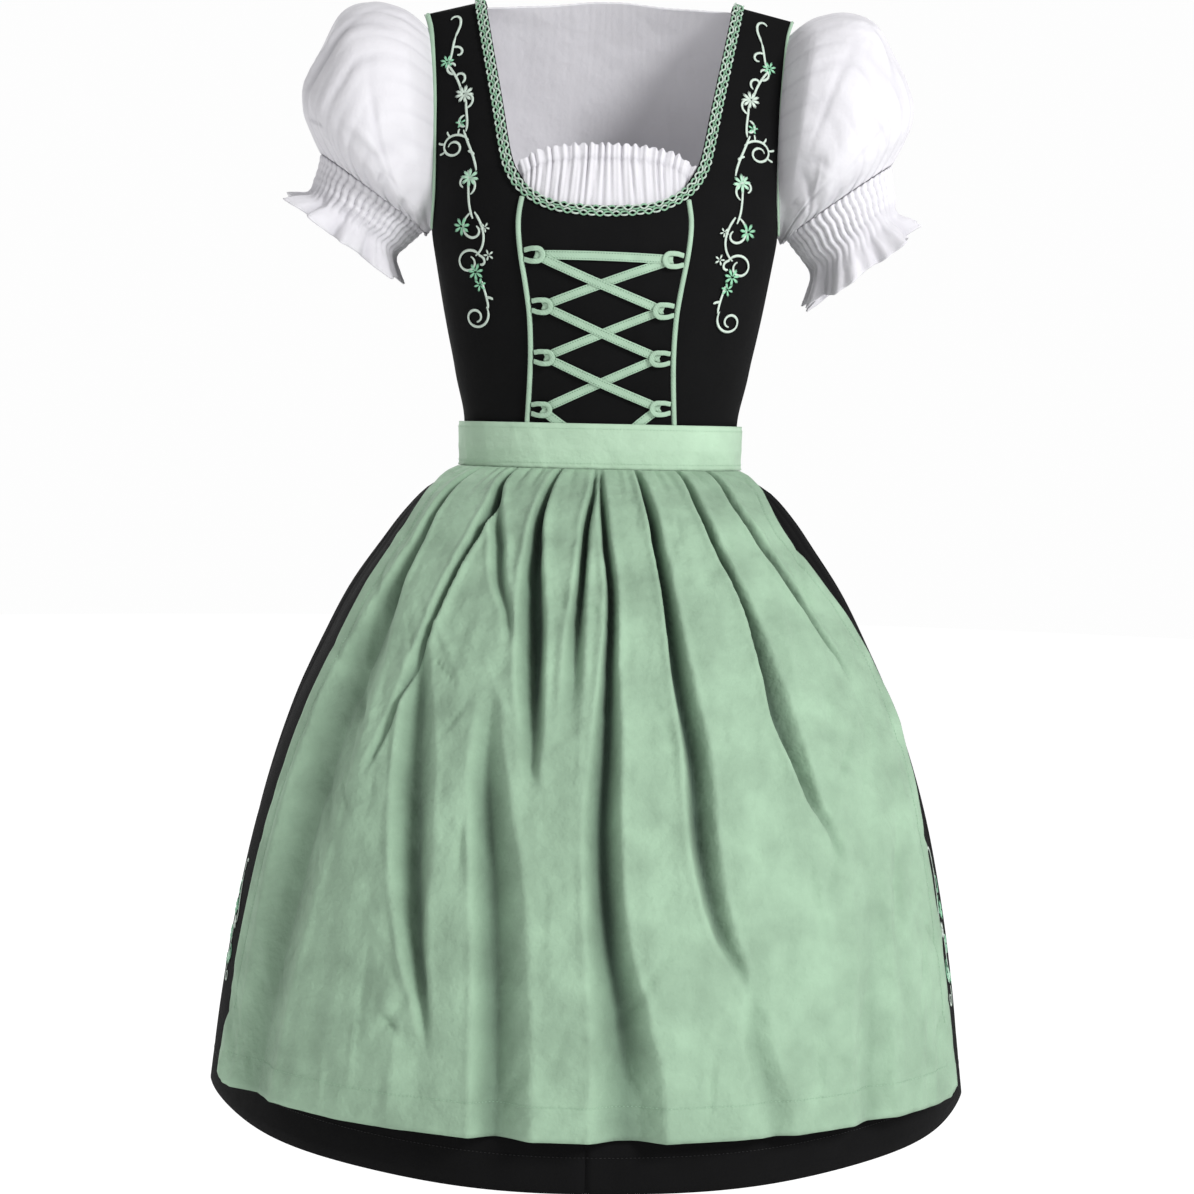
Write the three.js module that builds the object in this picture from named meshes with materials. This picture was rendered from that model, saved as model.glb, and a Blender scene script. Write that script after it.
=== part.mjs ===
// Dirndl set: black dress with a laced bodice, mint pleated apron and white puff-sleeved blouse.
// The clothes keep the hollow form that they have when worn. Millimetres, +Z up, the front faces -Y.
// The origin is midway between the shoulder seams, where the wearer's shoulders carry the set.
// Left and right are the wearer's: left is +X. Heights on the body are drops below the shoulder line.
import * as THREE from 'three';

// ---- driving dimensions ----------------------------------------------------------------------
const clothThickness = 1.6;      // dress cotton, doubled at its turned edges
const apronThickness = 1.5;
const blouseThickness = 1.3;
const tapeThickness = 0.7;       // lacing tape
const seamGap = 0.3;             // between the edges of two sewn pieces
const blouseInset = 4.6;         // blouse face, inside the bodice's face
const bodyPower = 2.4;           // roundness of the body sections: 2 is an ellipse
const shoulderSlope = 0.2456;    // fall of the shoulder line for each mm outwards
const strapInnerX = 113.5;       // where the shoulder line is at the origin's height
const neckSoftness = 30;         // rounds the shoulder line's peak at the centre
const topDrop = 0.03;            // starts the cloth just below the shoulder line
const shoulderGap = 0.6;         // of front and back each, from the shoulder line
const armpitDrop = 215;
const waistDrop = 405;           // seam of bodice and skirt, under the middle of the apron's band
const bandTopDrop = 385;
const bandHeight = 40;
const bandLift = 4.6;            // face of the band, off the dress
const apronTopDrop = bandTopDrop + bandHeight + seamGap;
const apronMiddleDrop = 946;
const apronCornerDrop = 13;      // the apron's corners hang this much lower than its middle
const apronClearance = 4.6;      // face of the apron off the skirt, at the bottom of a fold
const trimLift = 2.4;              // face of piping and braid off the dress
const trimThickness = 1.2;
const pipingWidth = 4.8;
const braidWidth = 9.8;
const armholeTrimWidth = 3.6;
const tapeWidth = 6.8;
const loopReach = 18;            // lacing loops: length, height and cord width
const loopHeight = 12.5;
const loopCord = 3.4;
const tieEndLength = 330;

const finishes = {
  black: { color: 0x1c1c1e, roughness: 0.85 },
  mint: { color: 0xa9cfb0, roughness: 0.75 },
  trim: { color: 0x9fcfae, roughness: 0.6 },
  white: { color: 0xefeef3, roughness: 0.8 },
};

// ---- tables ----------------------------------------------------------------------------------
// Body sections: half width, and depth to the front and to the back.
const bodySections = [
  { drop: 0, halfWidth: 173, front: 0, back: 0 },
  { drop: 6, halfWidth: 172.6, front: 15, back: 16 },
  { drop: 19, halfWidth: 172, front: 28, back: 32 },
  { drop: 52, halfWidth: 170.5, front: 50, back: 61 },
  { drop: 87, halfWidth: 168.5, front: 70, back: 81 },
  { drop: 117, halfWidth: 166.5, front: 87, back: 93 },
  { drop: 155, halfWidth: 164, front: 107, back: 101 },
  { drop: 189, halfWidth: 161.5, front: 122, back: 105 },
  { drop: 215, halfWidth: 159.5, front: 130.5, back: 105 },
  { drop: 243, halfWidth: 155, front: 132, back: 102 },
  { drop: 270, halfWidth: 150.5, front: 126, back: 98 },
  { drop: 292, halfWidth: 146.5, front: 120, back: 95 },
  { drop: 336, halfWidth: 137.5, front: 106, back: 90 },
  { drop: 381, halfWidth: 128, front: 95, back: 85 },
  { drop: 431, halfWidth: 127, front: 95, back: 85 },
];
// Skirt sections, from the waist seam to the hem.
const skirtSections = [
  { drop: 405, halfWidth: 127, front: 94.5, back: 84.5 },
  { drop: 425, halfWidth: 129, front: 97, back: 87 },
  { drop: 437, halfWidth: 148, front: 114, back: 104 },
  { drop: 448, halfWidth: 164, front: 131, back: 120 },
  { drop: 470, halfWidth: 184, front: 155, back: 143 },
  { drop: 492, halfWidth: 200, front: 174, back: 163 },
  { drop: 536, halfWidth: 230, front: 207, back: 195 },
  { drop: 580, halfWidth: 253, front: 236, back: 224 },
  { drop: 646, halfWidth: 283, front: 271, back: 260 },
  { drop: 735, halfWidth: 312, front: 308, back: 297 },
  { drop: 823, halfWidth: 331, front: 334, back: 324 },
  { drop: 912, halfWidth: 345, front: 353, back: 343 },
  { drop: 989, halfWidth: 354, front: 364, back: 355 },
];
// Rows of facets down the bodice and down the skirt and apron.
const bodiceRows = [topDrop, 2.5, 8, 16, 30, 50, 77, 108, 143, 178, 208, 242, 277, 317, 356, 385, 404.7];
const skirtRows = [405.3, 425, 437, 449, 470, 501, 556, 642, 752, 874, 989];
const apronShares = [0, 0.023, 0.047, 0.088, 0.15, 0.258, 0.425, 0.641, 0.84, 1];
// Inner edge of the strap, then the princess seam: half distance from the centre front.
const frontInnerEdge = [
  { drop: 0, x: 113.5 },
  { drop: 59, x: 102 },
  { drop: 106, x: 92.5 },
  { drop: 145, x: 85 },
  { drop: 161, x: 80 },
  { drop: 172, x: 73 },
  { drop: 178, x: 70 },
  { drop: 190, x: 72.5 },
  { drop: 209, x: 75 },
  { drop: 232, x: 73.5 },
  { drop: 271, x: 67 },
  { drop: 294, x: 64 },
  { drop: 333, x: 63 },
  { drop: 405, x: 66.5 },
];
// Lower curve of the front neckline, across the centre front panel.
const necklineCurve = [
  { x: 0, drop: 197 },
  { x: 30.5, drop: 195.5 },
  { x: 48.5, drop: 191 },
  { x: 62, drop: 184.5 },
  { x: 69, drop: 178 },
];
// Back neckline of the dress: half distance from the centre back.
const backInnerEdge = [
  { drop: 0, x: 113.5 },
  { drop: 29, x: 104 },
  { drop: 58, x: 86.5 },
  { drop: 79, x: 59 },
  { drop: 90, x: 29.5 },
  { drop: 94, x: 0 },
];
const armholeEdge = [
  { drop: 0, front: 170, back: 170 },
  { drop: 19, front: 165, back: 165 },
  { drop: 52, front: 161.5, back: 161.5 },
  { drop: 87, front: 159, back: 158 },
  { drop: 117, front: 158, back: 157 },
  { drop: 155, front: 157, back: 156 },
  { drop: 182, front: 157, back: 156.5 },
  { drop: 202, front: 158.5, back: 158.5 },
  { drop: 215, front: 159.5, back: 159.5 },
];
// Top edges of the blouse from the centre (across 0) to the armhole (across 1).
const blouseFrontEdge = [
  { across: 0, x: 0, drop: 144 },
  { across: 0.2, x: 31.5, drop: 145 },
  { across: 0.36, x: 60, drop: 151 },
  { across: 0.5, x: 87, drop: 161 },
  { across: 0.6, x: 97.5, drop: 108 },
  { across: 0.7, x: 106, drop: 60 },
  { across: 0.8, x: 118.5, drop: 4 },
  { across: 1, x: 168, drop: 0 },
];
const blouseBackEdge = [
  { across: 0, x: 0, drop: 12 },
  { across: 0.35, x: 49, drop: 10 },
  { across: 0.6, x: 90, drop: 5 },
  { across: 0.75, x: 118, drop: 1 },
  { across: 1, x: 168, drop: 0 },
];
// Sleeve rings from the armhole to the cuff seam, then cuff rings to the ruffle's edge: the top
// point, the point under the arm, and the half depth from front to back.
const sleeveRings = [
  { topX: 169, topZ: -20.5, underX: 159.5, underZ: -208.5, depth: 36 },
  { topX: 187, topZ: -10.5, underX: 161, underZ: -211, depth: 57 },
  { topX: 217, topZ: -4.5, underX: 162.5, underZ: -213, depth: 74 },
  { topX: 244.5, topZ: -14.5, underX: 164, underZ: -214, depth: 83 },
  { topX: 262.5, topZ: -46, underX: 165.3, underZ: -214, depth: 85 },
  { topX: 278.5, topZ: -79, underX: 166.3, underZ: -213.4, depth: 79 },
  { topX: 280, topZ: -102, underX: 167, underZ: -212.4, depth: 71 },
  { topX: 273, topZ: -122, underX: 167.5, underZ: -211.2, depth: 62 },
  { topX: 262, topZ: -143, underX: 168, underZ: -209.2, depth: 55 },
];
const cuffRings = [
  { topX: 262.3, topZ: -143.6, underX: 168.3, underZ: -209.7, depth: 54.7 },
  { topX: 264.7, topZ: -155, underX: 175.2, underZ: -216.5, depth: 51.3 },
  { topX: 268.7, topZ: -166.5, underX: 185.2, underZ: -225.2, depth: 49.3 },
  { topX: 273.8, topZ: -176.2, underX: 192.2, underZ: -234, depth: 49.3 },
  { topX: 285.7, topZ: -178.2, underX: 189.3, underZ: -247, depth: 57 },
  { topX: 299.5, topZ: -181, underX: 184.5, underZ: -261.5, depth: 65 },
];
// Folds that open from the pleats at the band. The share is of the apron's length, angle and half
// width are degrees round the skirt, and the depth is how far the cloth falls back.
const foldRow = (share, angle, half, depth) => ({ share, angle, half, depth });
const apronFolds = [
  [foldRow(0, -48, 1.5, 4), foldRow(0.12, -47, 2, 6), foldRow(0.35, -47, 4, 8),
    foldRow(0.6, -48, 5, 11), foldRow(1, -51, 5, 12)],
  [foldRow(0, -31, 1.5, 4), foldRow(0.15, -26, 2, 9), foldRow(0.3, -28, 2.5, 9),
    foldRow(0.5, -27, 3, 11), foldRow(0.7, -25, 3, 11), foldRow(0.87, -21, 2, 3), foldRow(1, -21, 2, 1)],
  [foldRow(0, -12, 1.5, 4), foldRow(0.12, -15, 2, 10), foldRow(0.3, -10, 2.5, 11),
    foldRow(0.6, -14, 3, 11), foldRow(0.75, -12, 4, 12), foldRow(1, -11, 4, 11)],
  [foldRow(0, -0.5, 1.5, 4), foldRow(0.15, 1.5, 2, 10), foldRow(0.35, 2, 2.5, 13),
    foldRow(0.6, 2, 3.5, 15), foldRow(0.8, 3.5, 4.5, 15), foldRow(1, 5.5, 5.5, 14)],
  [foldRow(0, 11, 1.5, 4), foldRow(0.2, 14.5, 2, 9), foldRow(0.4, 15.5, 2.5, 12),
    foldRow(0.6, 17, 2.5, 11), foldRow(0.78, 22, 2, 4), foldRow(1, 23, 2, 1)],
  [foldRow(0, 27, 1.5, 4), foldRow(0.16, 29.5, 2, 9), foldRow(0.35, 32.5, 2.5, 12),
    foldRow(0.56, 38, 2.5, 5), foldRow(1, 40, 3, 1)],
  [foldRow(0, 43, 1.5, 4), foldRow(0.11, 41, 2, 8), foldRow(0.24, 47, 2, 6),
    foldRow(0.4, 52, 2.5, 1), foldRow(1, 52, 2.5, 1)],
];
// Side edges of the apron, in degrees, and how far it stands off the skirt between its folds.
const apronSides = [
  { share: 0, right: -72, left: 70, crown: 5 },
  { share: 0.04, right: -62, left: 59, crown: 8 },
  { share: 0.09, right: -57, left: 53, crown: 12 },
  { share: 0.15, right: -56.5, left: 55, crown: 14 },
  { share: 0.3, right: -57, left: 62, crown: 16 },
  { share: 0.45, right: -58.5, left: 63, crown: 17 },
  { share: 0.7, right: -59.5, left: 60.5, crown: 18 },
  { share: 1, right: -60, left: 60.5, crown: 19 },
];
// Folds of the skirt at the sides and back: angle from the centre front, half width and depth.
const skirtFolds = [
  { angle: 84, half: 7, depth: 7 },
  { angle: 103, half: 6, depth: 12 },
  { angle: 119, half: 7, depth: 10 },
  { angle: 137, half: 6, depth: 14 },
  { angle: 153, half: 7, depth: 11 },
  { angle: 171, half: 6, depth: 14 },
  { angle: 189, half: 7, depth: 12 },
  { angle: 207, half: 6, depth: 14 },
  { angle: 224, half: 7, depth: 10 },
  { angle: 241, half: 6, depth: 13 },
  { angle: 258, half: 6, depth: 10 },
  { angle: 276, half: 7, depth: 7 },
];
// Lacing loops: heights of their middles on each side.
const loopDrops = [
  { right: 240, left: 242 },
  { right: 283, left: 285 },
  { right: 327, left: 326 },
  { right: 373, left: 370 },
];

// ---- helpers ---------------------------------------------------------------------------------
const { clamp, lerp, degToRad } = THREE.MathUtils;
const unchanged = (value) => value;
const set = new THREE.Group();

// Reads a column of a table, on a smooth curve through its rows.
function readTable(table, key, column, at, warp = unchanged) {
  const keys = table.map((row) => warp(row[key]));
  const rising = keys[1] > keys[0] ? 1 : -1;
  const last = table.length - 1;
  const wanted = warp(at);
  if ((wanted - keys[0]) * rising <= 0) return table[0][column];
  if ((wanted - keys[last]) * rising >= 0) return table[last][column];
  let i = 0;
  while ((keys[i + 1] - wanted) * rising < 0) i += 1;
  const slope = (j) => {
    const a = Math.max(j - 1, 0);
    const b = Math.min(j + 1, last);
    return (table[b][column] - table[a][column]) / (keys[b] - keys[a]);
  };
  const span = keys[i + 1] - keys[i];
  const t = (wanted - keys[i]) / span;
  const t2 = t * t;
  const t3 = t2 * t;
  return (2 * t3 - 3 * t2 + 1) * table[i][column] + (t3 - 2 * t2 + t) * span * slope(i)
    + (3 * t2 - 2 * t3) * table[i + 1][column] + (t3 - t2) * span * slope(i + 1);
}

// The value that a share of the way down a list of rows falls on.
const rowAt = (rows, v) => rows[Math.round(v * (rows.length - 1))];

// A wall of cloth. face(u, v, out) is a point of the cloth with u across, v down, both from 0 to 1,
// and out its distance from the outer face. A tube closes on itself across.
function clothWall(face, across, down, thickness, tube = false) {
  const columns = tube ? across : across + 1;
  const positions = [];
  for (let j = 0; j <= down; j += 1) {
    for (let i = 0; i < columns; i += 1) {
      positions.push(...face(i / across, j / down, 0).toArray());
      positions.push(...face(i / across, j / down, -thickness).toArray());
    }
  }
  const outer = (i, j) => 2 * (j * columns + (i % columns));
  const inner = (i, j) => outer(i, j) + 1;
  const index = [];
  const quad = (a, b, c, d) => index.push(a, b, c, a, c, d);
  for (let i = 0; i < across; i += 1) {
    for (let j = 0; j < down; j += 1) {
      quad(outer(i, j), outer(i, j + 1), outer(i + 1, j + 1), outer(i + 1, j));
      quad(inner(i, j), inner(i + 1, j), inner(i + 1, j + 1), inner(i, j + 1));
    }
    quad(outer(i, 0), outer(i + 1, 0), inner(i + 1, 0), inner(i, 0));
    quad(outer(i, down), inner(i, down), inner(i + 1, down), outer(i + 1, down));
  }
  for (let j = 0; j < down && !tube; j += 1) {
    quad(outer(0, j), inner(0, j), inner(0, j + 1), outer(0, j + 1));
    quad(outer(across, j), outer(across, j + 1), inner(across, j + 1), inner(across, j));
  }
  const geometry = new THREE.BufferGeometry();
  geometry.setAttribute('position', new THREE.Float32BufferAttribute(positions, 3));
  geometry.setIndex(index);
  return geometry;
}

// The same piece for the other side of the body.
function mirrored(geometry) {
  const copy = geometry.index ? geometry.toNonIndexed() : geometry.clone();
  const points = copy.getAttribute('position');
  for (let i = 0; i < points.count; i += 3) {
    const [a, b, c] = [0, 1, 2].map((k) => new THREE.Vector3().fromBufferAttribute(points, i + k));
    [a, c, b].forEach((p, k) => points.setXYZ(i + k, -p.x, p.y, p.z));
  }
  return copy;
}

function addPiece(name, geometry, finish) {
  geometry.computeVertexNormals();
  const mesh = new THREE.Mesh(geometry, new THREE.MeshStandardMaterial({ metalness: 0, ...finish }));
  mesh.name = name;
  set.add(mesh);
}

function addPair(name, geometry, finish) {
  addPiece(`${name}_left`, geometry, finish);
  addPiece(`${name}_right`, mirrored(geometry), finish);
}

// ---- forms that the cloth follows --------------------------------------------------------------
const bodySize = (column, drop) => readTable(bodySections, 'drop', column, drop, Math.sqrt);
const flattened = (value, power) => Math.sign(value) * Math.abs(value) ** (2 / power);

// The body's surface. The angle is 0 at the centre front and grows towards +X.
function bodyForm(drop, angle) {
  const x = bodySize('halfWidth', drop) * flattened(Math.sin(angle), bodyPower);
  const toFront = Math.cos(angle) >= 0;
  const gap = shoulderGap * clamp(1 - drop / 8, 0, 1) * (toFront ? -1 : 1);
  const y = gap - bodySize(toFront ? 'front' : 'back', drop) * flattened(Math.cos(angle), bodyPower);
  const rise = shoulderSlope * (Math.hypot(strapInnerX, neckSoftness) - Math.hypot(x, neckSoftness));
  const share = Math.max(0, 1 - drop / armpitDrop) ** 1.5;
  return new THREE.Vector3(x, y, -drop + share * rise);
}

// The skirt's surface at the crests of its folds.
function skirtForm(drop, angle) {
  const size = (column) => readTable(skirtSections, 'drop', column, drop);
  const power = lerp(bodyPower, 2, clamp((drop - waistDrop) / 90, 0, 1));
  const front = Math.cos(angle);
  const x = size('halfWidth') * flattened(Math.sin(angle), power);
  const y = -size(front >= 0 ? 'front' : 'back') * flattened(front, power);
  return new THREE.Vector3(x, y, -drop);
}

// A point moved straight out from a form.
function off(form, drop, angle, out) {
  const step = 0.5;
  const turn = 0.004;
  const down = form(drop + step, angle).sub(form(Math.max(drop - step, 0), angle));
  const side = form(drop, angle + turn).sub(form(drop, angle - turn));
  return form(drop, angle).addScaledVector(down.cross(side).normalize(), out);
}

function bodyAngle(drop, x, back = false) {
  const share = Math.min(1, Math.abs(x) / bodySize('halfWidth', drop));
  const angle = Math.asin(share ** (bodyPower / 2));
  return Math.sign(x || 1) * (back ? Math.PI - angle : angle);
}

const onBody = (drop, x, out, back = false) => {
  const safeDrop = Math.max(drop, topDrop);
  return off(bodyForm, safeDrop, bodyAngle(safeDrop, x, back), out);
};

// A flat strip laid on the bodice along a route of [x, drop] points.
function stripOnBody({ route, width, lift, thickness, steps, back = false }) {
  const curve = new THREE.CatmullRomCurve3(route.map(([x, drop]) => new THREE.Vector3(x, -drop, 0)));
  const face = (u, v, out) => {
    const along = lerp(v, 0.5 - 0.5 * Math.cos(Math.PI * v), 0.7);   // closer near the shoulders
    const p = curve.getPointAt(along);
    const t = curve.getTangentAt(along);
    const shift = width * (u - 0.5) * (back ? -1 : 1);
    return onBody(-p.y - t.x * shift, p.x - t.y * shift, lift + out, back);
  };
  return clothWall(face, 1, steps, thickness);
}

// ---- bodice ------------------------------------------------------------------------------------
const frontEdgeX = (drop) => readTable(frontInnerEdge, 'drop', 'x', drop);
const armholeX = (drop, side) => readTable(armholeEdge, 'drop', side, drop);
const bodiceSteps = bodiceRows.length - 1;

function addBodiceFront() {
  const centreRows = bodiceRows.filter((drop) => drop >= 178);
  const face = (u, v, out) => {
    const share = 2 * u - 1;
    const top = readTable(necklineCurve, 'x', 'drop', Math.abs(share) * 69);
    const drop = v > 0 ? rowAt(centreRows, v) : top;
    return onBody(drop, share * (frontEdgeX(drop) - seamGap / 2), out);
  };
  addPiece('bodice_front_centre', clothWall(face, 8, centreRows.length - 1, clothThickness), finishes.black);
}

function addSideFronts() {
  const face = (u, v, out) => {
    const drop = rowAt(bodiceRows, v);
    const inner = bodyAngle(drop, frontEdgeX(drop) + seamGap / 2);
    const outer = drop < armpitDrop ? bodyAngle(drop, armholeX(drop, 'front')) : Math.PI / 2 - 0.003;
    return off(bodyForm, drop, lerp(inner, Math.min(outer, Math.PI / 2 - 0.003), u), out);
  };
  addPair('bodice_side_front', clothWall(face, 4, bodiceSteps, clothThickness), finishes.black);
}

function addBacks() {
  const centreGap = seamGap / 2;
  const face = (u, v, out) => {
    const drop = rowAt(bodiceRows, v);
    const innerX = Math.max(readTable(backInnerEdge, 'drop', 'x', drop), centreGap);
    const inner = bodyAngle(drop, innerX, true);
    const outer = drop < armpitDrop ? bodyAngle(drop, armholeX(drop, 'back'), true) : 0;
    return off(bodyForm, drop, lerp(Math.max(outer, Math.PI / 2 + 0.003), inner, u), out);
  };
  addPair('bodice_back', clothWall(face, 4, bodiceSteps, clothThickness), finishes.black);
}

function addTrims() {
  const pipingRows = [194, ...bodiceRows.filter((drop) => drop > 200)];
  const pipingFace = (u, v, out) => {
    const drop = rowAt(pipingRows, v);
    return onBody(drop, frontEdgeX(drop) + pipingWidth * (u - 0.5), trimLift + out);
  };
  const piping = clothWall(pipingFace, 1, pipingRows.length - 1, trimThickness);
  addPair('princess_piping', piping, finishes.trim);

  const inset = braidWidth / 2;
  const strapRows = frontInnerEdge.filter((row) => row.drop <= 161);
  const halfFront = strapRows.map((row) => [row.x + inset, row.drop + (row.drop > 150 ? 2 : 0)]);
  halfFront.push([73, 181.5], [51, 195.5], [28.5, 200.3]);
  const otherHalf = halfFront.map(([x, drop]) => [-x, drop]);
  const frontRoute = [...otherHalf, [0, 202], ...halfFront.reverse()];
  const front = stripOnBody({
    route: frontRoute, width: braidWidth, lift: trimLift, thickness: trimThickness, steps: 42,
  });
  addPiece('neckline_braid_front', front, finishes.trim);

  const halfBack = backInnerEdge.filter((row) => row.x > 40).map((row) => [row.x + inset, row.drop]);
  const backRoute = [...halfBack, [33, 95], [0, 99], [-33, 95]];
  backRoute.push(...halfBack.map(([x, drop]) => [-x, drop]).reverse());
  const back = stripOnBody({
    route: backRoute,
    width: braidWidth,
    lift: trimLift,
    thickness: trimThickness,
    steps: 30,
    back: true,
  });
  addPiece('neckline_braid_back', back, finishes.trim);

  const sideRows = [...bodiceRows.filter((drop) => drop < 200), 211];
  const armholeRows = [...sideRows.map((drop) => -drop).reverse(), ...sideRows];
  const armholeFace = (u, v, out) => {
    const row = rowAt(armholeRows, v);
    const x = armholeX(Math.abs(row), row < 0 ? 'front' : 'back') - 0.2 - armholeTrimWidth * u;
    return onBody(Math.abs(row), x, trimLift + out, row > 0);
  };
  const armhole = clothWall(armholeFace, 1, armholeRows.length - 1, trimThickness);
  addPair('armhole_piping', armhole, finishes.trim);
}

function addLacing() {
  const loopShape = () => {
    const shape = new THREE.Shape();
    const half = loopHeight / 2;
    const straight = loopReach - half;
    shape.moveTo(0, -half);
    shape.lineTo(0, half);
    shape.lineTo(-straight, half);
    shape.absarc(-straight, 0, half, Math.PI / 2, Math.PI * 1.5, false);
    const hole = new THREE.Path();
    const holeHalf = half - loopCord;
    hole.moveTo(-loopCord, holeHalf);
    hole.lineTo(-loopCord, -holeHalf);
    hole.lineTo(-straight, -holeHalf);
    hole.absarc(-straight, 0, holeHalf, Math.PI * 1.5, Math.PI / 2, true);
    shape.holes.push(hole);
    return shape;
  };
  const flat = { depth: 1, bevelEnabled: false, steps: 1, curveSegments: 3 };
  const innerEnds = { left: [], right: [] };
  for (const [side, sign] of [['left', 1], ['right', -1]]) {
    loopDrops.forEach((row, k) => {
      const drop = row[side];
      const rootX = frontEdgeX(drop) - pipingWidth / 2 - 3 * seamGap;
      const loop = new THREE.ExtrudeGeometry(loopShape(), flat);
      const points = loop.getAttribute('position');
      for (let i = 0; i < points.count; i += 1) {
        const p = new THREE.Vector3().fromBufferAttribute(points, i);
        const lift = 1 + 2.9 * clamp(-p.x / (loopReach / 2), 0, 1) + p.z;
        points.setXYZ(i, ...onBody(drop - p.y, rootX + p.x, lift).toArray());
      }
      const name = `lacing_loop_${side}_${k + 1}`;
      addPiece(name, sign > 0 ? loop : mirrored(loop), finishes.trim);
      innerEnds[side].push([sign * (rootX - loopReach + loopCord + tapeWidth / 2 + 1), drop]);
    });
  }
  const low = 1.6;                       // faces of the two layers of tape
  const high = low + 0.4 + tapeThickness;
  const { left, right } = innerEnds;
  const bandEdge = bandTopDrop + 10;
  const stretches = [
    { name: 'lacing_tape_top', from: right[0], to: left[0], lift: [low, high] },
    { name: 'lacing_tape_1', from: right[0], to: left[1], lift: [high, high] },
    { name: 'lacing_tape_2', from: left[0], to: right[1], lift: [low, low] },
    { name: 'lacing_tape_3', from: right[1], to: left[2], lift: [high, high] },
    { name: 'lacing_tape_4', from: left[1], to: right[2], lift: [low, low] },
    { name: 'lacing_tape_5', from: right[2], to: left[3], lift: [high, high] },
    { name: 'lacing_tape_6', from: left[2], to: right[3], lift: [low, low] },
    { name: 'lacing_end_right', from: right[3], to: [-22, bandEdge], lift: [high, low] },
    { name: 'lacing_end_left', from: left[3], to: [22, bandEdge], lift: [low, low] },
  ];
  for (const { name, from, to, lift } of stretches) {
    const start = new THREE.Vector2(...from);
    const along = new THREE.Vector2(...to).sub(start);
    const across = new THREE.Vector2(along.y, -along.x).setLength(tapeWidth);
    const face = (u, v, out) => {
      const p = start.clone().addScaledVector(along, v).addScaledVector(across, u - 0.5);
      return onBody(p.y, p.x, lerp(lift[0], lift[1], v) + out);
    };
    addPiece(name, clothWall(face, 1, 6, tapeThickness), finishes.trim);
  }
}

// ---- skirt -------------------------------------------------------------------------------------
// Depth of a trough across its half width: 1 in its middle and 0 at its sides.
const trough = (distance, half) => 0.5 + 0.5 * Math.cos(Math.PI * clamp(distance / half, -1, 1));

function skirtFoldDepth(drop, angle) {
  const degrees = (THREE.MathUtils.radToDeg(angle) + 360) % 360;
  const grown = clamp((drop - apronTopDrop) / 200, 0, 1);
  const depths = skirtFolds.map(({ angle: middle, half, depth }) => (
    depth * trough(degrees - middle, half)));
  return grown * Math.max(...depths);
}

function addSkirt() {
  const face = (from, to) => (u, v, out) => {
    const drop = rowAt(skirtRows, v);
    const angle = degToRad(lerp(from, to, u));
    return off(skirtForm, drop, angle, out - skirtFoldDepth(drop, angle));
  };
  const addPanel = (name, from, to, across) => {
    const panel = clothWall(face(from, to), across, skirtRows.length - 1, clothThickness);
    addPiece(name, panel, finishes.black);
  };
  addPanel('skirt_front_left', 0.05, 89.92, 10);
  addPanel('skirt_front_right', -89.92, -0.05, 10);
  addPanel('skirt_back', 90.03, 269.97, 30);
}

// ---- apron -------------------------------------------------------------------------------------
function apronLift(share, degrees) {
  const crown = readTable(apronSides, 'share', 'crown', share);
  const depths = apronFolds.map((fold) => {
    const at = (column) => readTable(fold, 'share', column, share);
    return at('depth') * trough(degrees - at('angle'), 1.6 * at('half'));
  });
  return Math.max(apronClearance, crown - Math.max(...depths));
}

function addApron() {
  const face = (u, v, out) => {
    const share = rowAt(apronShares, v);
    const right = readTable(apronSides, 'share', 'right', share);
    const left = readTable(apronSides, 'share', 'left', share);
    const degrees = lerp(right, left, u);
    const bottom = apronMiddleDrop + apronCornerDrop * (degrees / 60) ** 2;
    const drop = lerp(apronTopDrop, bottom, share);
    const point = off(skirtForm, drop, degToRad(degrees), apronLift(share, degrees) + out);
    point.z = Math.min(point.z, -apronTopDrop);
    return point;
  };
  addPiece('apron_panel', clothWall(face, 38, apronShares.length - 1, apronThickness), finishes.mint);
}

// The waist under the band: bodice above the seam, skirt below it.
function onWaist(drop, angle, out) {
  return off(drop < waistDrop ? bodyForm : skirtForm, clamp(drop, bandTopDrop, 433), angle, out)
    .setZ(-drop);
}

// A point off the back of the waist or skirt, at a distance x from the centre back.
function onBackAt(drop, x, out) {
  const form = drop < waistDrop ? bodyForm : skirtForm;
  const halfWidth = form(drop, Math.PI / 2).x;
  return off(form, drop, Math.PI - Math.asin((x / halfWidth) ** 1.1), out);
}

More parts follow.
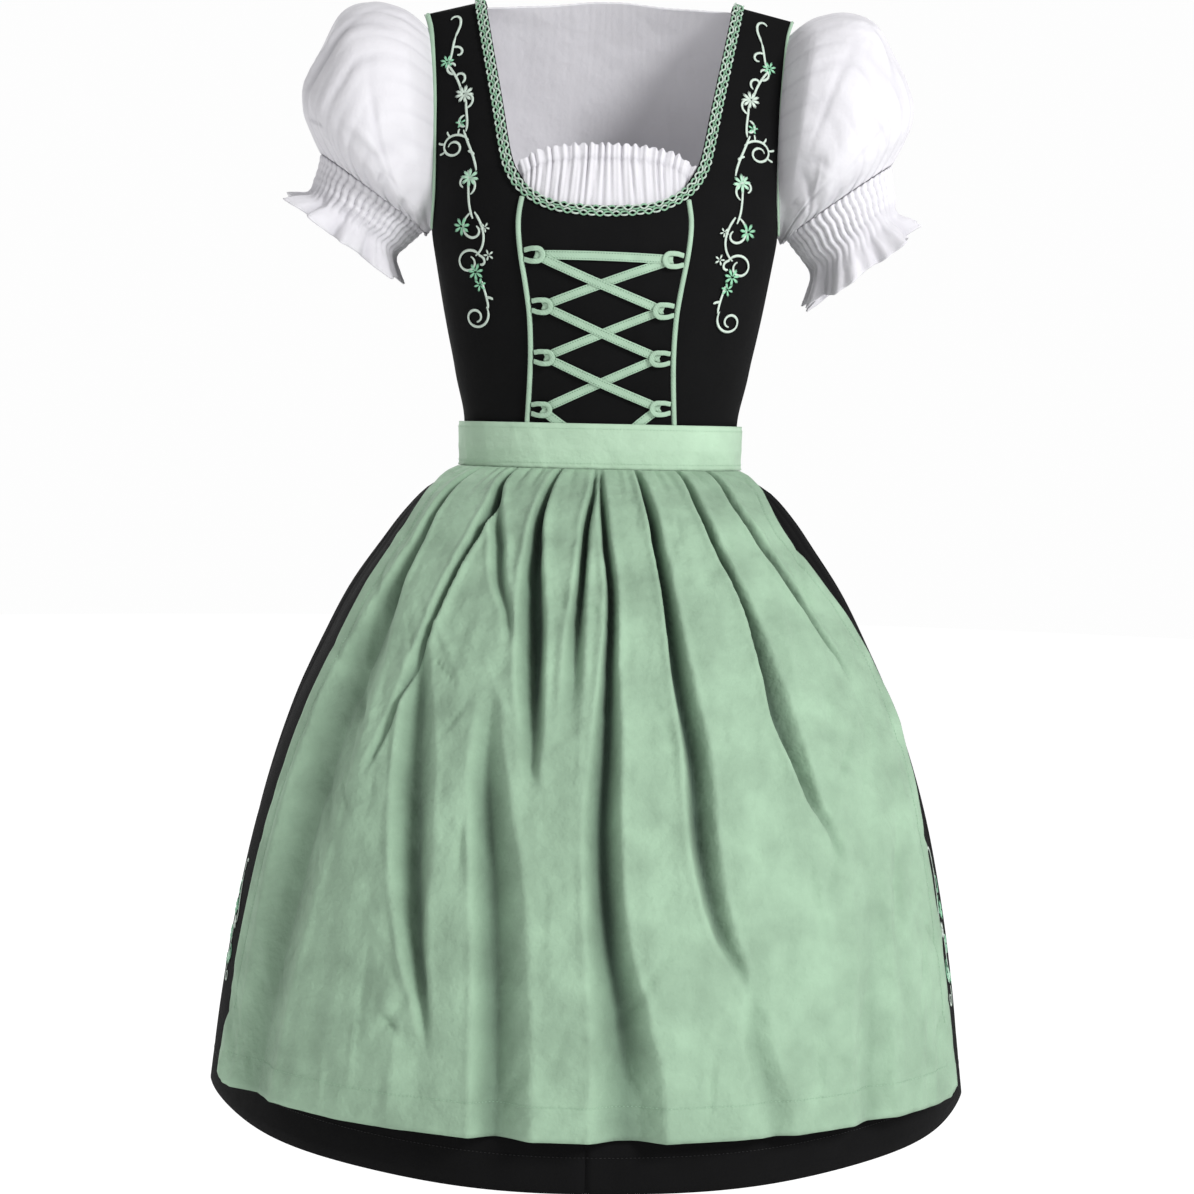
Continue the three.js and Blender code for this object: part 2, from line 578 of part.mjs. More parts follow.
function addBand() {
  const bandFace = (u, v, out) => {
    const drop = lerp(bandTopDrop, bandTopDrop + bandHeight, v);
    return onWaist(drop, degToRad(lerp(-100, 100, u)), bandLift + out);
  };
  addPiece('apron_waistband', clothWall(bandFace, 28, 2, apronThickness), finishes.mint);

  const tieFace = (u, v, out) => {
    const half = lerp(bandHeight / 2, 9, clamp((u - 0.45) / 0.55, 0, 1));
    const drop = lerp(waistDrop - half, waistDrop + half, v);
    return onWaist(drop, degToRad(lerp(100.2, 176, u)), bandLift + out);
  };
  addPair('apron_tie', clothWall(tieFace, 12, 2, apronThickness), finishes.mint);

  const backY = onWaist(waistDrop, Math.PI, bandLift).y;
  const knot = new THREE.SphereGeometry(1, 12, 8);
  const knotSize = { x: 17, y: 9, z: 16 };
  knot.scale(knotSize.x, knotSize.y, knotSize.z);
  knot.translate(0, backY + knotSize.y + seamGap, -waistDrop);
  addPiece('apron_bow_knot', knot, finishes.mint);

  const bow = { middle: 66, reach: 47, fullness: 8, droop: 0.3, lift: 15 };
  const loopFace = (u, v, out) => {
    const turn = 2 * Math.PI * u;
    const x = bow.middle + (bow.reach + out) * Math.sin(turn);
    const half = lerp(11, 21, (x - 18) / 100);
    const drop = waistDrop - 4 + bow.droop * x + lerp(-half, half, v);
    const y = onBackAt(drop, x, 0).y + bow.lift - (bow.fullness + out) * Math.cos(turn);
    return new THREE.Vector3(x, y, -drop);
  };
  addPair('apron_bow_loop', clothWall(loopFace, 12, 3, apronThickness, true), finishes.mint);

  const endFace = (u, v, out) => {
    const drop = lerp(waistDrop + 20, waistDrop + 20 + tieEndLength + 22 * (1 - u), v ** 1.5);
    const half = lerp(8, 19, Math.min(1, 3 * v));
    const x = 10 + 45 * v ** 0.8 + lerp(half, -half, u);
    return onBackAt(drop, x, 5 + out);
  };
  addPair('apron_tie_end', clothWall(endFace, 2, 10, apronThickness), finishes.mint);
}

// ---- blouse ------------------------------------------------------------------------------------
function addBlouseBody(name, edge, back) {
  const side = back ? 'back' : 'front';
  const sideAngle = (drop) => {
    const x = drop < armpitDrop ? armholeX(drop, side) - 1.5 : 1000;
    const angle = Math.min(bodyAngle(drop, x), Math.PI / 2 - 0.004);
    return angle;
  };
  const face = (u, v, out) => {
    const share = 2 * u - 1;
    const across = Math.abs(share);
    const fall = v ** 1.4;
    const top = Math.max(topDrop, readTable(edge, 'across', 'drop', across));
    const drop = lerp(top, waistDrop - 6, fall);
    const edgeDrop = lerp(topDrop, waistDrop - 6, fall);
    const topShare = bodyAngle(top, readTable(edge, 'across', 'x', across)) / sideAngle(topDrop);
    const spread = Math.min(1, lerp(topShare, across, clamp(1.6 * fall, 0, 1)));
    const angle = Math.sign(share) * spread * sideAngle(edgeDrop);
    const turned = back ? Math.PI - angle : angle;
    const ease = 4 * clamp((drop - armpitDrop) / 60, 0, 1);      // fuller cut of the bodice below
    const point = off(bodyForm, drop, turned, out - blouseInset - ease);
    point.y = back ? Math.max(point.y, shoulderGap) : Math.min(point.y, -shoulderGap);
    return point;
  };
  const ordered = back ? (u, v, out) => face(1 - u, v, out) : face;
  addPiece(name, clothWall(ordered, 14, 7, blouseThickness), finishes.white);
}

function ringTube(rings) {
  const face = (u, v, out) => {
    const at = (column) => readTable(rings, 'order', column, v * (rings.length - 1));
    const top = new THREE.Vector3(at('topX'), 0, at('topZ'));
    const under = new THREE.Vector3(at('underX'), 0, at('underZ'));
    const centre = top.clone().lerp(under, 0.5);
    const up = top.clone().sub(under).normalize();
    const turn = 2 * Math.PI * u;
    const height = top.distanceTo(under) / 2 + out;
    const depth = at('depth') + out;
    return centre.addScaledVector(up, height * Math.cos(turn))
      .add(new THREE.Vector3(0, depth * Math.sin(turn), 0));
  };
  return clothWall(face, 14, rings.length - 1, blouseThickness, true);
}

function addSleeves() {
  const numbered = (rings) => rings.map((ring, order) => ({ order, ...ring }));
  addPair('sleeve', ringTube(numbered(sleeveRings)), finishes.white);
  addPair('cuff', ringTube(numbered(cuffRings)), finishes.white);
}

addBodiceFront();
addSideFronts();
addBacks();
addTrims();
addLacing();
addSkirt();
addApron();
addBand();
addBlouseBody('blouse_front', blouseFrontEdge, false);
addBlouseBody('blouse_back', blouseBackEdge, true);
addSleeves();

export default set;
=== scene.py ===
import math

import bpy
import numpy as np
from mathutils import Matrix, Vector


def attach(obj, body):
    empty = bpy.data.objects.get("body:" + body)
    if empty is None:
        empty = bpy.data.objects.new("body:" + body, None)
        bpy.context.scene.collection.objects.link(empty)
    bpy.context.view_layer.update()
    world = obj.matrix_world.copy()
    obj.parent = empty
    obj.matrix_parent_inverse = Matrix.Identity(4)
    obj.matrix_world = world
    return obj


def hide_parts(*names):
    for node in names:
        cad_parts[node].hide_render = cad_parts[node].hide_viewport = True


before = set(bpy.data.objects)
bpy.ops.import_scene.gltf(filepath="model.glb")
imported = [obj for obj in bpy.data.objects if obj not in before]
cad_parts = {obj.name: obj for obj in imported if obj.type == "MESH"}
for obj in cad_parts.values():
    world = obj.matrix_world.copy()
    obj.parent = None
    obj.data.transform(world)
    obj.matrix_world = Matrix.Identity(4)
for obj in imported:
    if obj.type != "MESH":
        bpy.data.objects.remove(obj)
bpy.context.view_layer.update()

# The looks of a dirndl set: black dress with a laced bodice, pleated mint apron, puff-sleeved blouse.
# Lengths are millimetres until a mesh is made. A drop is measured down from the shoulder line, an
# angle is 0 at the centre front and grows to the wearer's left, which is +X.

# Forms under the cloth.
bodySections = {
    "drop": [0, 6, 19, 52, 87, 117, 155, 189, 215, 243, 270, 292, 336, 381, 431],
    "halfWidth": [
        173, 172.6, 172, 170.5, 168.5, 166.5, 164, 161.5, 159.5, 155, 150.5, 146.5, 137.5, 128, 127],
    "front": [0, 15, 28, 50, 70, 87, 107, 122, 130.5, 132, 126, 120, 106, 95, 95],
    "back": [0, 16, 32, 61, 81, 93, 101, 105, 105, 102, 98, 95, 90, 85, 85],
}
skirtSections = {
    "drop": [405, 425, 437, 448, 470, 492, 536, 580, 646, 735, 823, 912, 989],
    "halfWidth": [127, 129, 148, 164, 184, 200, 230, 253, 283, 312, 331, 345, 354],
    "front": [94.5, 97, 114, 131, 155, 174, 207, 236, 271, 308, 334, 353, 364],
    "back": [84.5, 87, 104, 120, 143, 163, 195, 224, 260, 297, 324, 343, 355],
}
frontInnerEdge = {
    "drop": [0, 59, 106, 145, 161, 172, 178, 190, 209, 232, 271, 294, 333, 405],
    "x": [113.5, 102, 92.5, 85, 80, 73, 70, 72.5, 75, 73.5, 67, 64, 63, 66.5],
}
necklineCurve = {"x": [0, 30.5, 48.5, 62, 69], "drop": [197, 195.5, 191, 184.5, 178]}
backInnerEdge = {"drop": [0, 29, 58, 79, 90, 94], "x": [113.5, 104, 86.5, 59, 29.5, 0]}
armholeEdge = {
    "drop": [0, 19, 52, 87, 117, 155, 182, 202, 215],
    "front": [170, 165, 161.5, 159, 158, 157, 157, 158.5, 159.5],
    "back": [170, 165, 161.5, 158, 157, 156, 156.5, 158.5, 159.5],
}
armpitDrop = 215
bandTop = 385
waistDrop = 405
bandFoot = 425
hipDrop = 433
hemDrop = 989
topDrop = 0.03
# How thick each cloth is drawn.
clothThickness = {"dress": 1.6, "blouse": 1.3, "sleeve": 1.2, "tie": 1.4, "apron": 1.5}


def readTable(table, key, column, at, warp=None):
    keys = np.asarray(table[key], float)
    values = np.asarray(table[column], float)
    at = np.asarray(at, float)
    if warp is not None:
        keys = warp(keys)
        at = warp(np.maximum(at, 0))
    at = np.clip(at, keys[0], keys[-1])
    count = len(keys)
    before = np.clip(np.arange(count) - 1, 0, count - 1)
    after = np.clip(np.arange(count) + 1, 0, count - 1)
    slope = (values[after] - values[before]) / (keys[after] - keys[before])
    i = np.clip(np.searchsorted(keys, at, side="right") - 1, 0, count - 2)
    span = keys[i + 1] - keys[i]
    t = (at - keys[i]) / span
    t2 = t * t
    t3 = t2 * t
    start = (2 * t3 - 3 * t2 + 1) * values[i] + (t3 - 2 * t2 + t) * span * slope[i]
    end = (3 * t2 - 2 * t3) * values[i + 1] + (t3 - t2) * span * slope[i + 1]
    return start + end


def smooth(low, high, at):
    t = np.clip((np.asarray(at, float) - low) / (high - low), 0, 1)
    return t * t * (3 - 2 * t)


def mix(a, b, t):
    return a + (b - a) * t


def flattened(value, power):
    return np.sign(value) * np.abs(value) ** (2 / power)


def bodyForm(drop, angle):
    drop, angle = np.broadcast_arrays(np.asarray(drop, float), np.asarray(angle, float))
    x = readTable(bodySections, "drop", "halfWidth", drop, np.sqrt) * flattened(np.sin(angle), 2.4)
    front = np.cos(angle)
    ahead = readTable(bodySections, "drop", "front", drop, np.sqrt)
    behind = readTable(bodySections, "drop", "back", drop, np.sqrt)
    gap = 0.6 * np.clip(1 - drop / 8, 0, 1) * np.where(front >= 0, -1, 1)
    y = gap - np.where(front >= 0, ahead, behind) * flattened(front, 2.4)
    rise = 0.2456 * (math.hypot(113.5, 30) - np.hypot(x, 30))
    z = -drop + np.maximum(0, 1 - drop / armpitDrop) ** 1.5 * rise
    return np.stack([x, y, z], -1)


def skirtForm(drop, angle):
    drop, angle = np.broadcast_arrays(np.asarray(drop, float), np.asarray(angle, float))
    power = mix(2.4, 2.0, np.clip((drop - waistDrop) / 90, 0, 1))
    x = readTable(skirtSections, "drop", "halfWidth", drop) * flattened(np.sin(angle), power)
    front = np.cos(angle)
    ahead = readTable(skirtSections, "drop", "front", drop)
    behind = readTable(skirtSections, "drop", "back", drop)
    y = -np.where(front >= 0, ahead, behind) * flattened(front, power)
    return np.stack([x, y, -drop], -1)


def offForm(form, drop, angle, out):
    down = form(drop + 0.5, angle) - form(np.maximum(drop - 0.5, 0), angle)
    side = form(drop, angle + 0.004) - form(drop, angle - 0.004)
    normal = np.cross(down, side)
    normal /= np.linalg.norm(normal, axis=-1, keepdims=True)
    return form(drop, angle) + normal * np.asarray(out, float)[..., None]


def bodyAngle(drop, x, back=False):
    share = np.minimum(1, np.abs(x) / readTable(bodySections, "drop", "halfWidth", drop, np.sqrt))
    angle = np.arcsin(share ** 1.2)
    return np.where(np.asarray(x) < 0, -1, 1) * (math.pi - angle if back else angle)


def onBody(drop, x, out, back=False):
    safe = np.maximum(drop, topDrop)
    return offForm(bodyForm, safe, bodyAngle(safe, x, back), out * np.ones_like(safe))


def onWaist(drop, angle, out):
    body = offForm(bodyForm, np.clip(drop, bandTop, waistDrop), angle, out)
    skirt = offForm(skirtForm, np.clip(drop, waistDrop, hipDrop), angle, out)
    point = np.where((drop < waistDrop)[..., None], body, skirt)
    point[..., 2] = -drop
    return point


# Mesh helpers.
def newObject(name, mesh, material, nodes):
    piece = bpy.data.objects.new(name, mesh)
    bpy.context.scene.collection.objects.link(piece)
    if material is not None:
        piece.data.materials.append(material)
    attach(piece, "root")
    if nodes:
        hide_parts(*nodes)
    return piece


def meshFrom(name, points, faces):
    mesh = bpy.data.meshes.new(name)
    mesh.from_pydata((points.reshape(-1, 3) / 1000).tolist(), [], faces)
    mesh.polygons.foreach_set("use_smooth", [True] * len(mesh.polygons))
    return mesh


def addField(mesh, name, values):
    field = mesh.attributes.new(name, "FLOAT", "POINT")
    field.data.foreach_set("value", np.asarray(values, np.float32).ravel())


# A sheet from a grid of points, with rows down and columns across; it closes round on itself if it
# is a tube. The map's sizes are metres along the cloth, and the painted shade field darkens the bottom of
# folds.
def clothGrid(name, points, material, nodes, thickness, closed=False, paintedShade=None):
    rows, columns = points.shape[:2]
    index = np.arange(rows * columns).reshape(rows, columns)
    if closed:
        index = np.hstack([index, index[:, :1]])
        points = np.concatenate([points, points[:, :1]], 1)
    corners = [index[:-1, :-1], index[1:, :-1], index[1:, 1:], index[:-1, 1:]]
    quads = np.stack(corners, -1).reshape(-1, 4)
    across = np.linalg.norm(np.diff(points, axis=1), axis=-1).mean(0)
    down = np.linalg.norm(np.diff(points, axis=0), axis=-1).mean(1)
    u = np.concatenate([[0], np.cumsum(across)]) / 1000
    v = np.concatenate([[0], np.cumsum(down)]) / 1000
    uv = np.stack(np.meshgrid(u, v), -1)
    cornerUv = [uv[:-1, :-1], uv[1:, :-1], uv[1:, 1:], uv[:-1, 1:]]
    flatUv = np.stack(cornerUv, -2).reshape(-1, 2)
    original = points[:, :columns]
    mesh = meshFrom(name, original, quads.tolist())
    layer = mesh.uv_layers.new(name="cloth")
    layer.data.foreach_set("uv", flatUv.astype(np.float32).ravel())
    if paintedShade is not None:
        addField(mesh, "paintedShade", paintedShade)
    piece = newObject(name, mesh, material, nodes)
    solid = piece.modifiers.new("thickness", "SOLIDIFY")
    solid.thickness = thickness / 1000
    solid.offset = -1
    return piece


# A strip or cord with a closed profile of side and up offsets, swept along a path.
def sweep(name, path, outward, profile, material, nodes):
    tangent = np.gradient(path, axis=0)
    tangent /= np.linalg.norm(tangent, axis=-1, keepdims=True)
    side = np.cross(tangent, outward)
    side /= np.linalg.norm(side, axis=-1, keepdims=True)
    up = np.cross(side, tangent)
    profile = np.asarray(profile, float)
    if profile.ndim == 2:
        profile = np.repeat(profile[None], len(path), 0)
    points = path[:, None] + side[:, None] * profile[..., :1] + up[:, None] * profile[..., 1:]
    rows, columns = points.shape[:2]
    index = np.arange(rows * columns).reshape(rows, columns)
    ring = np.hstack([index, index[:, :1]])
    quads = np.stack([ring[:-1, :-1], ring[:-1, 1:], ring[1:, 1:], ring[1:, :-1]], -1).reshape(-1, 4)
    faces = quads.tolist() + [index[0][::-1].tolist(), index[-1].tolist()]
    return newObject(name, meshFrom(name, points, faces), material, nodes)


def roundedProfile(halfWidth, halfHeight, power=2.6, count=14):
    turn = np.arange(count) * 2 * math.pi / count
    side = halfWidth * flattened(np.cos(turn), power)
    up = halfHeight * flattened(np.sin(turn), power)
    return np.stack([side, up], -1)


# Materials.
def newMaterial(name):
    material = bpy.data.materials.new(name)
    material.use_nodes = True
    return material, material.node_tree.nodes, material.node_tree.links


# Woven cloth: plain weave in its map's metres, faint mottling, and folds darkened by painted shade.
def clothMaterial(name, colour, fold, roughness, specular, sheen, weave, bumpHeight, mottle, crumple):
    material, nodes, links = newMaterial(name)
    shader = nodes["Principled BSDF"]
    shader.inputs["Roughness"].default_value = roughness
    shader.inputs["Specular IOR Level"].default_value = specular
    shader.inputs["Sheen Weight"].default_value = sheen
    shader.inputs["Sheen Roughness"].default_value = 0.6
    place = nodes.new("ShaderNodeTexCoord")
    cloud = nodes.new("ShaderNodeTexNoise")
    cloud.inputs["Scale"].default_value = 26
    cloud.inputs["Detail"].default_value = 9
    links.new(place.outputs["Object"], cloud.inputs["Vector"])
    tone = nodes.new("ShaderNodeMapRange")
    tone.inputs["From Min"].default_value = 0.3
    tone.inputs["From Max"].default_value = 0.7
    tone.inputs["To Min"].default_value = 1 - mottle
    tone.inputs["To Max"].default_value = 1
    links.new(cloud.outputs["Fac"], tone.inputs["Value"])
    # The fold colour is painted shade, not a colour of the cloth: the shade field mixes it in where folds are
    # deep.
    folds = nodes.new("ShaderNodeAttribute")
    folds.attribute_name = "paintedShade"
    base = nodes.new("ShaderNodeMix")
    base.data_type = "RGBA"
    base.inputs["A"].default_value = (*colour, 1)
    base.inputs["B"].default_value = (*fold, 1)
    links.new(folds.outputs["Fac"], base.inputs["Factor"])
    toned = nodes.new("ShaderNodeVectorMath")
    toned.operation = "SCALE"
    links.new(base.outputs["Result"], toned.inputs[0])
    links.new(tone.outputs["Result"], toned.inputs["Scale"])
    links.new(toned.outputs["Vector"], shader.inputs["Base Color"])
    threads = []
    for direction in ("X", "Y"):
        wave = nodes.new("ShaderNodeTexWave")
        wave.bands_direction = direction
        wave.inputs["Scale"].default_value = 1 / weave / 3.1831
        wave.inputs["Distortion"].default_value = 0.6
        wave.inputs["Detail"].default_value = 1
        links.new(place.outputs["UV"], wave.inputs["Vector"])
        threads.append(wave)
    woven = nodes.new("ShaderNodeMath")
    woven.operation = "MULTIPLY"
    links.new(threads[0].outputs["Fac"], woven.inputs[0])
    links.new(threads[1].outputs["Fac"], woven.inputs[1])
    slub = nodes.new("ShaderNodeTexNoise")
    slub.inputs["Scale"].default_value = 160
    slub.inputs["Detail"].default_value = 3
    links.new(place.outputs["Object"], slub.inputs["Vector"])
    height = nodes.new("ShaderNodeMath")
    height.operation = "ADD"
    links.new(woven.outputs["Value"], height.inputs[0])
    links.new(slub.outputs["Fac"], height.inputs[1])
    bump = nodes.new("ShaderNodeBump")
    bump.inputs["Strength"].default_value = 0.5
    bump.inputs["Distance"].default_value = bumpHeight
    links.new(height.outputs["Value"], bump.inputs["Height"])
    creases = nodes.new("ShaderNodeTexNoise")
    creases.inputs["Scale"].default_value = 24
    creases.inputs["Detail"].default_value = 5
    links.new(place.outputs["Object"], creases.inputs["Vector"])
    crumpled = nodes.new("ShaderNodeBump")
    crumpled.inputs["Strength"].default_value = 1
    crumpled.inputs["Distance"].default_value = crumple
    links.new(creases.outputs["Fac"], crumpled.inputs["Height"])
    links.new(crumpled.outputs["Normal"], bump.inputs["Normal"])
    links.new(bump.outputs["Normal"], shader.inputs["Normal"])
    return material


# Thread, tape and cord: twisted ribs along the piece and slightly uneven dye.
def threadMaterial(name, colour, roughness, sheen, ribs, bumpHeight):
    material, nodes, links = newMaterial(name)
    shader = nodes["Principled BSDF"]
    shader.inputs["Roughness"].default_value = roughness
    shader.inputs["Specular IOR Level"].default_value = 0.35
    shader.inputs["Sheen Weight"].default_value = sheen
    place = nodes.new("ShaderNodeTexCoord")
    wave = nodes.new("ShaderNodeTexWave")
    wave.bands_direction = "DIAGONAL"
    wave.inputs["Scale"].default_value = ribs
    wave.inputs["Distortion"].default_value = 1.5
    links.new(place.outputs["Object"], wave.inputs["Vector"])
    dye = nodes.new("ShaderNodeTexNoise")
    dye.inputs["Scale"].default_value = 60
    links.new(place.outputs["Object"], dye.inputs["Vector"])
    tone = nodes.new("ShaderNodeMapRange")
    tone.inputs["To Min"].default_value = 0.8
    tone.inputs["To Max"].default_value = 1.15
    links.new(dye.outputs["Fac"], tone.inputs["Value"])
    toned = nodes.new("ShaderNodeVectorMath")
    toned.operation = "SCALE"
    toned.inputs[0].default_value = colour
    links.new(tone.outputs["Result"], toned.inputs["Scale"])
    links.new(toned.outputs["Vector"], shader.inputs["Base Color"])
    bump = nodes.new("ShaderNodeBump")
    bump.inputs["Strength"].default_value = 0.5
    bump.inputs["Distance"].default_value = bumpHeight
    links.new(wave.outputs["Fac"], bump.inputs["Height"])
    links.new(bump.outputs["Normal"], shader.inputs["Normal"])
    return material


# The second colour of each cloth is its painted shade colour for the bottom of folds.
mintCotton = clothMaterial(
    "mintCotton", (0.35, 0.517, 0.368), (0.05, 0.088, 0.063), 0.8, 0.25, 0.08, 0.0007, 0.00022, 0.26, 0.0085)
# A lighter copy of the mint cotton for the band, ties and bow loops: painted light, standing in for the light
# these catch.
litMintCotton = clothMaterial(
    "litMintCotton", (0.45, 0.63, 0.465), (0.06, 0.1, 0.072), 0.8, 0.25, 0.08, 0.0007, 0.00022, 0.16, 0.006)
blackCotton = clothMaterial(
    "blackCotton", (0.0045, 0.0045, 0.0048), (0.002, 0.002, 0.002), 0.9, 0.12, 0.0, 0.0008, 0.0003, 0.25,
    0.002)
whiteCotton = clothMaterial(
    "whiteCotton", (0.74, 0.73, 0.765), (0.33, 0.32, 0.36), 0.85, 0.2, 0.05, 0.0006, 0.0002, 0.03, 0.0035)
mintTape = threadMaterial("mintTape", (0.35, 0.51, 0.375), 0.5, 0.2, 260, 0.0003)
dotThread = threadMaterial("dotThread", (0.13, 0.23, 0.15), 0.6, 0.1, 500, 0.0001)
mintCord = threadMaterial("mintCord", (0.24, 0.44, 0.29), 0.55, 0.2, 320, 0.0003)
whiteCord = threadMaterial("whiteCord", (0.5, 0.6, 0.52), 0.55, 0.2, 320, 0.0003)
paleThread = threadMaterial("paleThread", (0.58, 0.68, 0.60), 0.4, 0.1, 500, 0.0001)
greenThread = threadMaterial("greenThread", (0.26, 0.58, 0.37), 0.4, 0.1, 500, 0.0001)
brightThread = threadMaterial("brightThread", (0.42, 0.68, 0.50), 0.4, 0.1, 500, 0.0001)
mintThread = threadMaterial("mintThread", (0.36, 0.56, 0.40), 0.5, 0.1, 500, 0.0001)
darkThread = threadMaterial("darkThread", (0.012, 0.012, 0.013), 0.5, 0.05, 500, 0.0001)
whiteThread = threadMaterial("whiteThread", (0.78, 0.78, 0.8), 0.5, 0.1, 500, 0.0001)


# Repeated small things, by geometry nodes.
def newTree(name, sockets):
    tree = bpy.data.node_groups.new(name, "GeometryNodeTree")
    tree.interface.new_socket(name="Geometry", in_out="INPUT", socket_type="NodeSocketGeometry")
    for label, kind in sockets:
        tree.interface.new_socket(name=label, in_out="INPUT", socket_type=kind)
    tree.interface.new_socket(name="Geometry", in_out="OUTPUT", socket_type="NodeSocketGeometry")
    source = tree.nodes.new("NodeGroupInput")
    target = tree.nodes.new("NodeGroupOutput")
    return tree, source, target


def finishTree(tree, source, target, geometry):
    realize = tree.nodes.new("GeometryNodeRealizeInstances")
    tree.links.new(geometry, realize.inputs["Geometry"])
    paint = tree.nodes.new("GeometryNodeSetMaterial")
    tree.links.new(realize.outputs["Geometry"], paint.inputs["Geometry"])
    tree.links.new(source.outputs["Material"], paint.inputs["Material"])
    tree.links.new(paint.outputs["Geometry"], target.inputs["Geometry"])
    return tree


# One rounded stitch on each point, along its own direction and raised off the cloth.
def makeStitchTree():
    sizes = [("Length", "NodeSocketFloat"), ("Width", "NodeSocketFloat"), ("Height", "NodeSocketFloat")]
    tree, source, target = newTree("stitches", [*sizes, ("Material", "NodeSocketMaterial")])
    ball = tree.nodes.new("GeometryNodeMeshUVSphere")
    ball.inputs["Segments"].default_value = 5
    ball.inputs["Rings"].default_value = 3
    ball.inputs["Radius"].default_value = 0.5
    size = tree.nodes.new("ShaderNodeCombineXYZ")
    tree.links.new(source.outputs["Length"], size.inputs["X"])
    tree.links.new(source.outputs["Width"], size.inputs["Y"])
    tree.links.new(source.outputs["Height"], size.inputs["Z"])
    shaped = tree.nodes.new("GeometryNodeTransform")
    tree.links.new(ball.outputs["Mesh"], shaped.inputs["Geometry"])
    tree.links.new(size.outputs["Vector"], shaped.inputs["Scale"])
    rounded = tree.nodes.new("GeometryNodeSetShadeSmooth")
    tree.links.new(shaped.outputs["Geometry"], rounded.inputs["Geometry"])
    along = tree.nodes.new("GeometryNodeInputNamedAttribute")
    along.data_type = "FLOAT_VECTOR"
    along.inputs["Name"].default_value = "along"
    outward = tree.nodes.new("GeometryNodeInputNamedAttribute")
    outward.data_type = "FLOAT_VECTOR"
    outward.inputs["Name"].default_value = "outward"
    turn = tree.nodes.new("FunctionNodeAxesToRotation")
    turn.primary_axis = "Z"
    turn.secondary_axis = "X"
    tree.links.new(outward.outputs["Attribute"], turn.inputs["Primary Axis"])
    tree.links.new(along.outputs["Attribute"], turn.inputs["Secondary Axis"])
    scale = tree.nodes.new("GeometryNodeInputNamedAttribute")
    scale.data_type = "FLOAT"
    scale.inputs["Name"].default_value = "size"
    copies = tree.nodes.new("GeometryNodeInstanceOnPoints")
    tree.links.new(source.outputs["Geometry"], copies.inputs["Points"])
    tree.links.new(rounded.outputs["Geometry"], copies.inputs["Instance"])
    tree.links.new(turn.outputs["Rotation"], copies.inputs["Rotation"])
    tree.links.new(scale.outputs["Attribute"], copies.inputs["Scale"])
    return finishTree(tree, source, target, copies.outputs["Instances"])


# A round strand along each line of edges.
def makeStrandTree():
    sockets = [("Radius", "NodeSocketFloat"), ("Material", "NodeSocketMaterial")]
    tree, source, target = newTree("strands", sockets)
    line = tree.nodes.new("GeometryNodeMeshToCurve")
    tree.links.new(source.outputs["Geometry"], line.inputs["Mesh"])
    ring = tree.nodes.new("GeometryNodeCurvePrimitiveCircle")
    ring.inputs["Resolution"].default_value = 6
    tree.links.new(source.outputs["Radius"], ring.inputs["Radius"])
    tube = tree.nodes.new("GeometryNodeCurveToMesh")
    tube.inputs["Fill Caps"].default_value = True
    tree.links.new(line.outputs["Curve"], tube.inputs["Curve"])
    tree.links.new(ring.outputs["Curve"], tube.inputs["Profile Curve"])
    rounded = tree.nodes.new("GeometryNodeSetShadeSmooth")
    tree.links.new(tube.outputs["Mesh"], rounded.inputs["Geometry"])
    return finishTree(tree, source, target, rounded.outputs["Geometry"])


stitchTree = makeStitchTree()
strandTree = makeStrandTree()


# Runs a tree on a mesh and keeps only its result, with no modifier left.
def grown(name, mesh, tree, values, nodes):
    seed = bpy.data.objects.new(name + "_seed", mesh)
    bpy.context.scene.collection.objects.link(seed)
    work = seed.modifiers.new("work", "NODES")
    work.node_group = tree
    for socket in tree.interface.items_tree:
        if socket.in_out == "INPUT" and socket.name in values:
            work[socket.identifier] = values[socket.name]
    bpy.context.view_layer.update()
    result = seed.evaluated_get(bpy.context.evaluated_depsgraph_get())
    made = bpy.data.meshes.new_from_object(result)
    made.name = name
    seed.modifiers.remove(work)
    bpy.data.objects.remove(seed)
    return newObject(name, made, None, nodes)


def stitches(name, runs, length, width, height, material, nodes=()):
    points = np.concatenate([run[0] for run in runs])
    along = np.concatenate([run[1] for run in runs])
    outward = np.concatenate([run[2] for run in runs])
    size = np.concatenate([run[3] if len(run) > 3 else np.ones(len(run[0])) for run in runs])
    mesh = bpy.data.meshes.new(name + "_points")
    mesh.from_pydata((points / 1000).tolist(), [], [])
    for label, values in (("along", along), ("outward", outward)):
        field = mesh.attributes.new(label, "FLOAT_VECTOR", "POINT")
        field.data.foreach_set("vector", values.astype(np.float32).ravel())
    addField(mesh, "size", size)
    values = {"Length": length / 1000, "Width": width / 1000, "Height": height / 1000, "Material": material}
    return grown(name, mesh, stitchTree, values, nodes)


def strands(name, lines, radius, material, nodes=()):
    points = np.concatenate(lines)
    edges = []
    start = 0
    for line in lines:
        edges.extend([start + i, start + i + 1] for i in range(len(line) - 1))
        start += len(line)
    mesh = bpy.data.meshes.new(name + "_lines")
    mesh.from_pydata((points / 1000).tolist(), edges, [])
    return grown(name, mesh, strandTree, {"Radius": radius / 1000, "Material": material}, nodes)


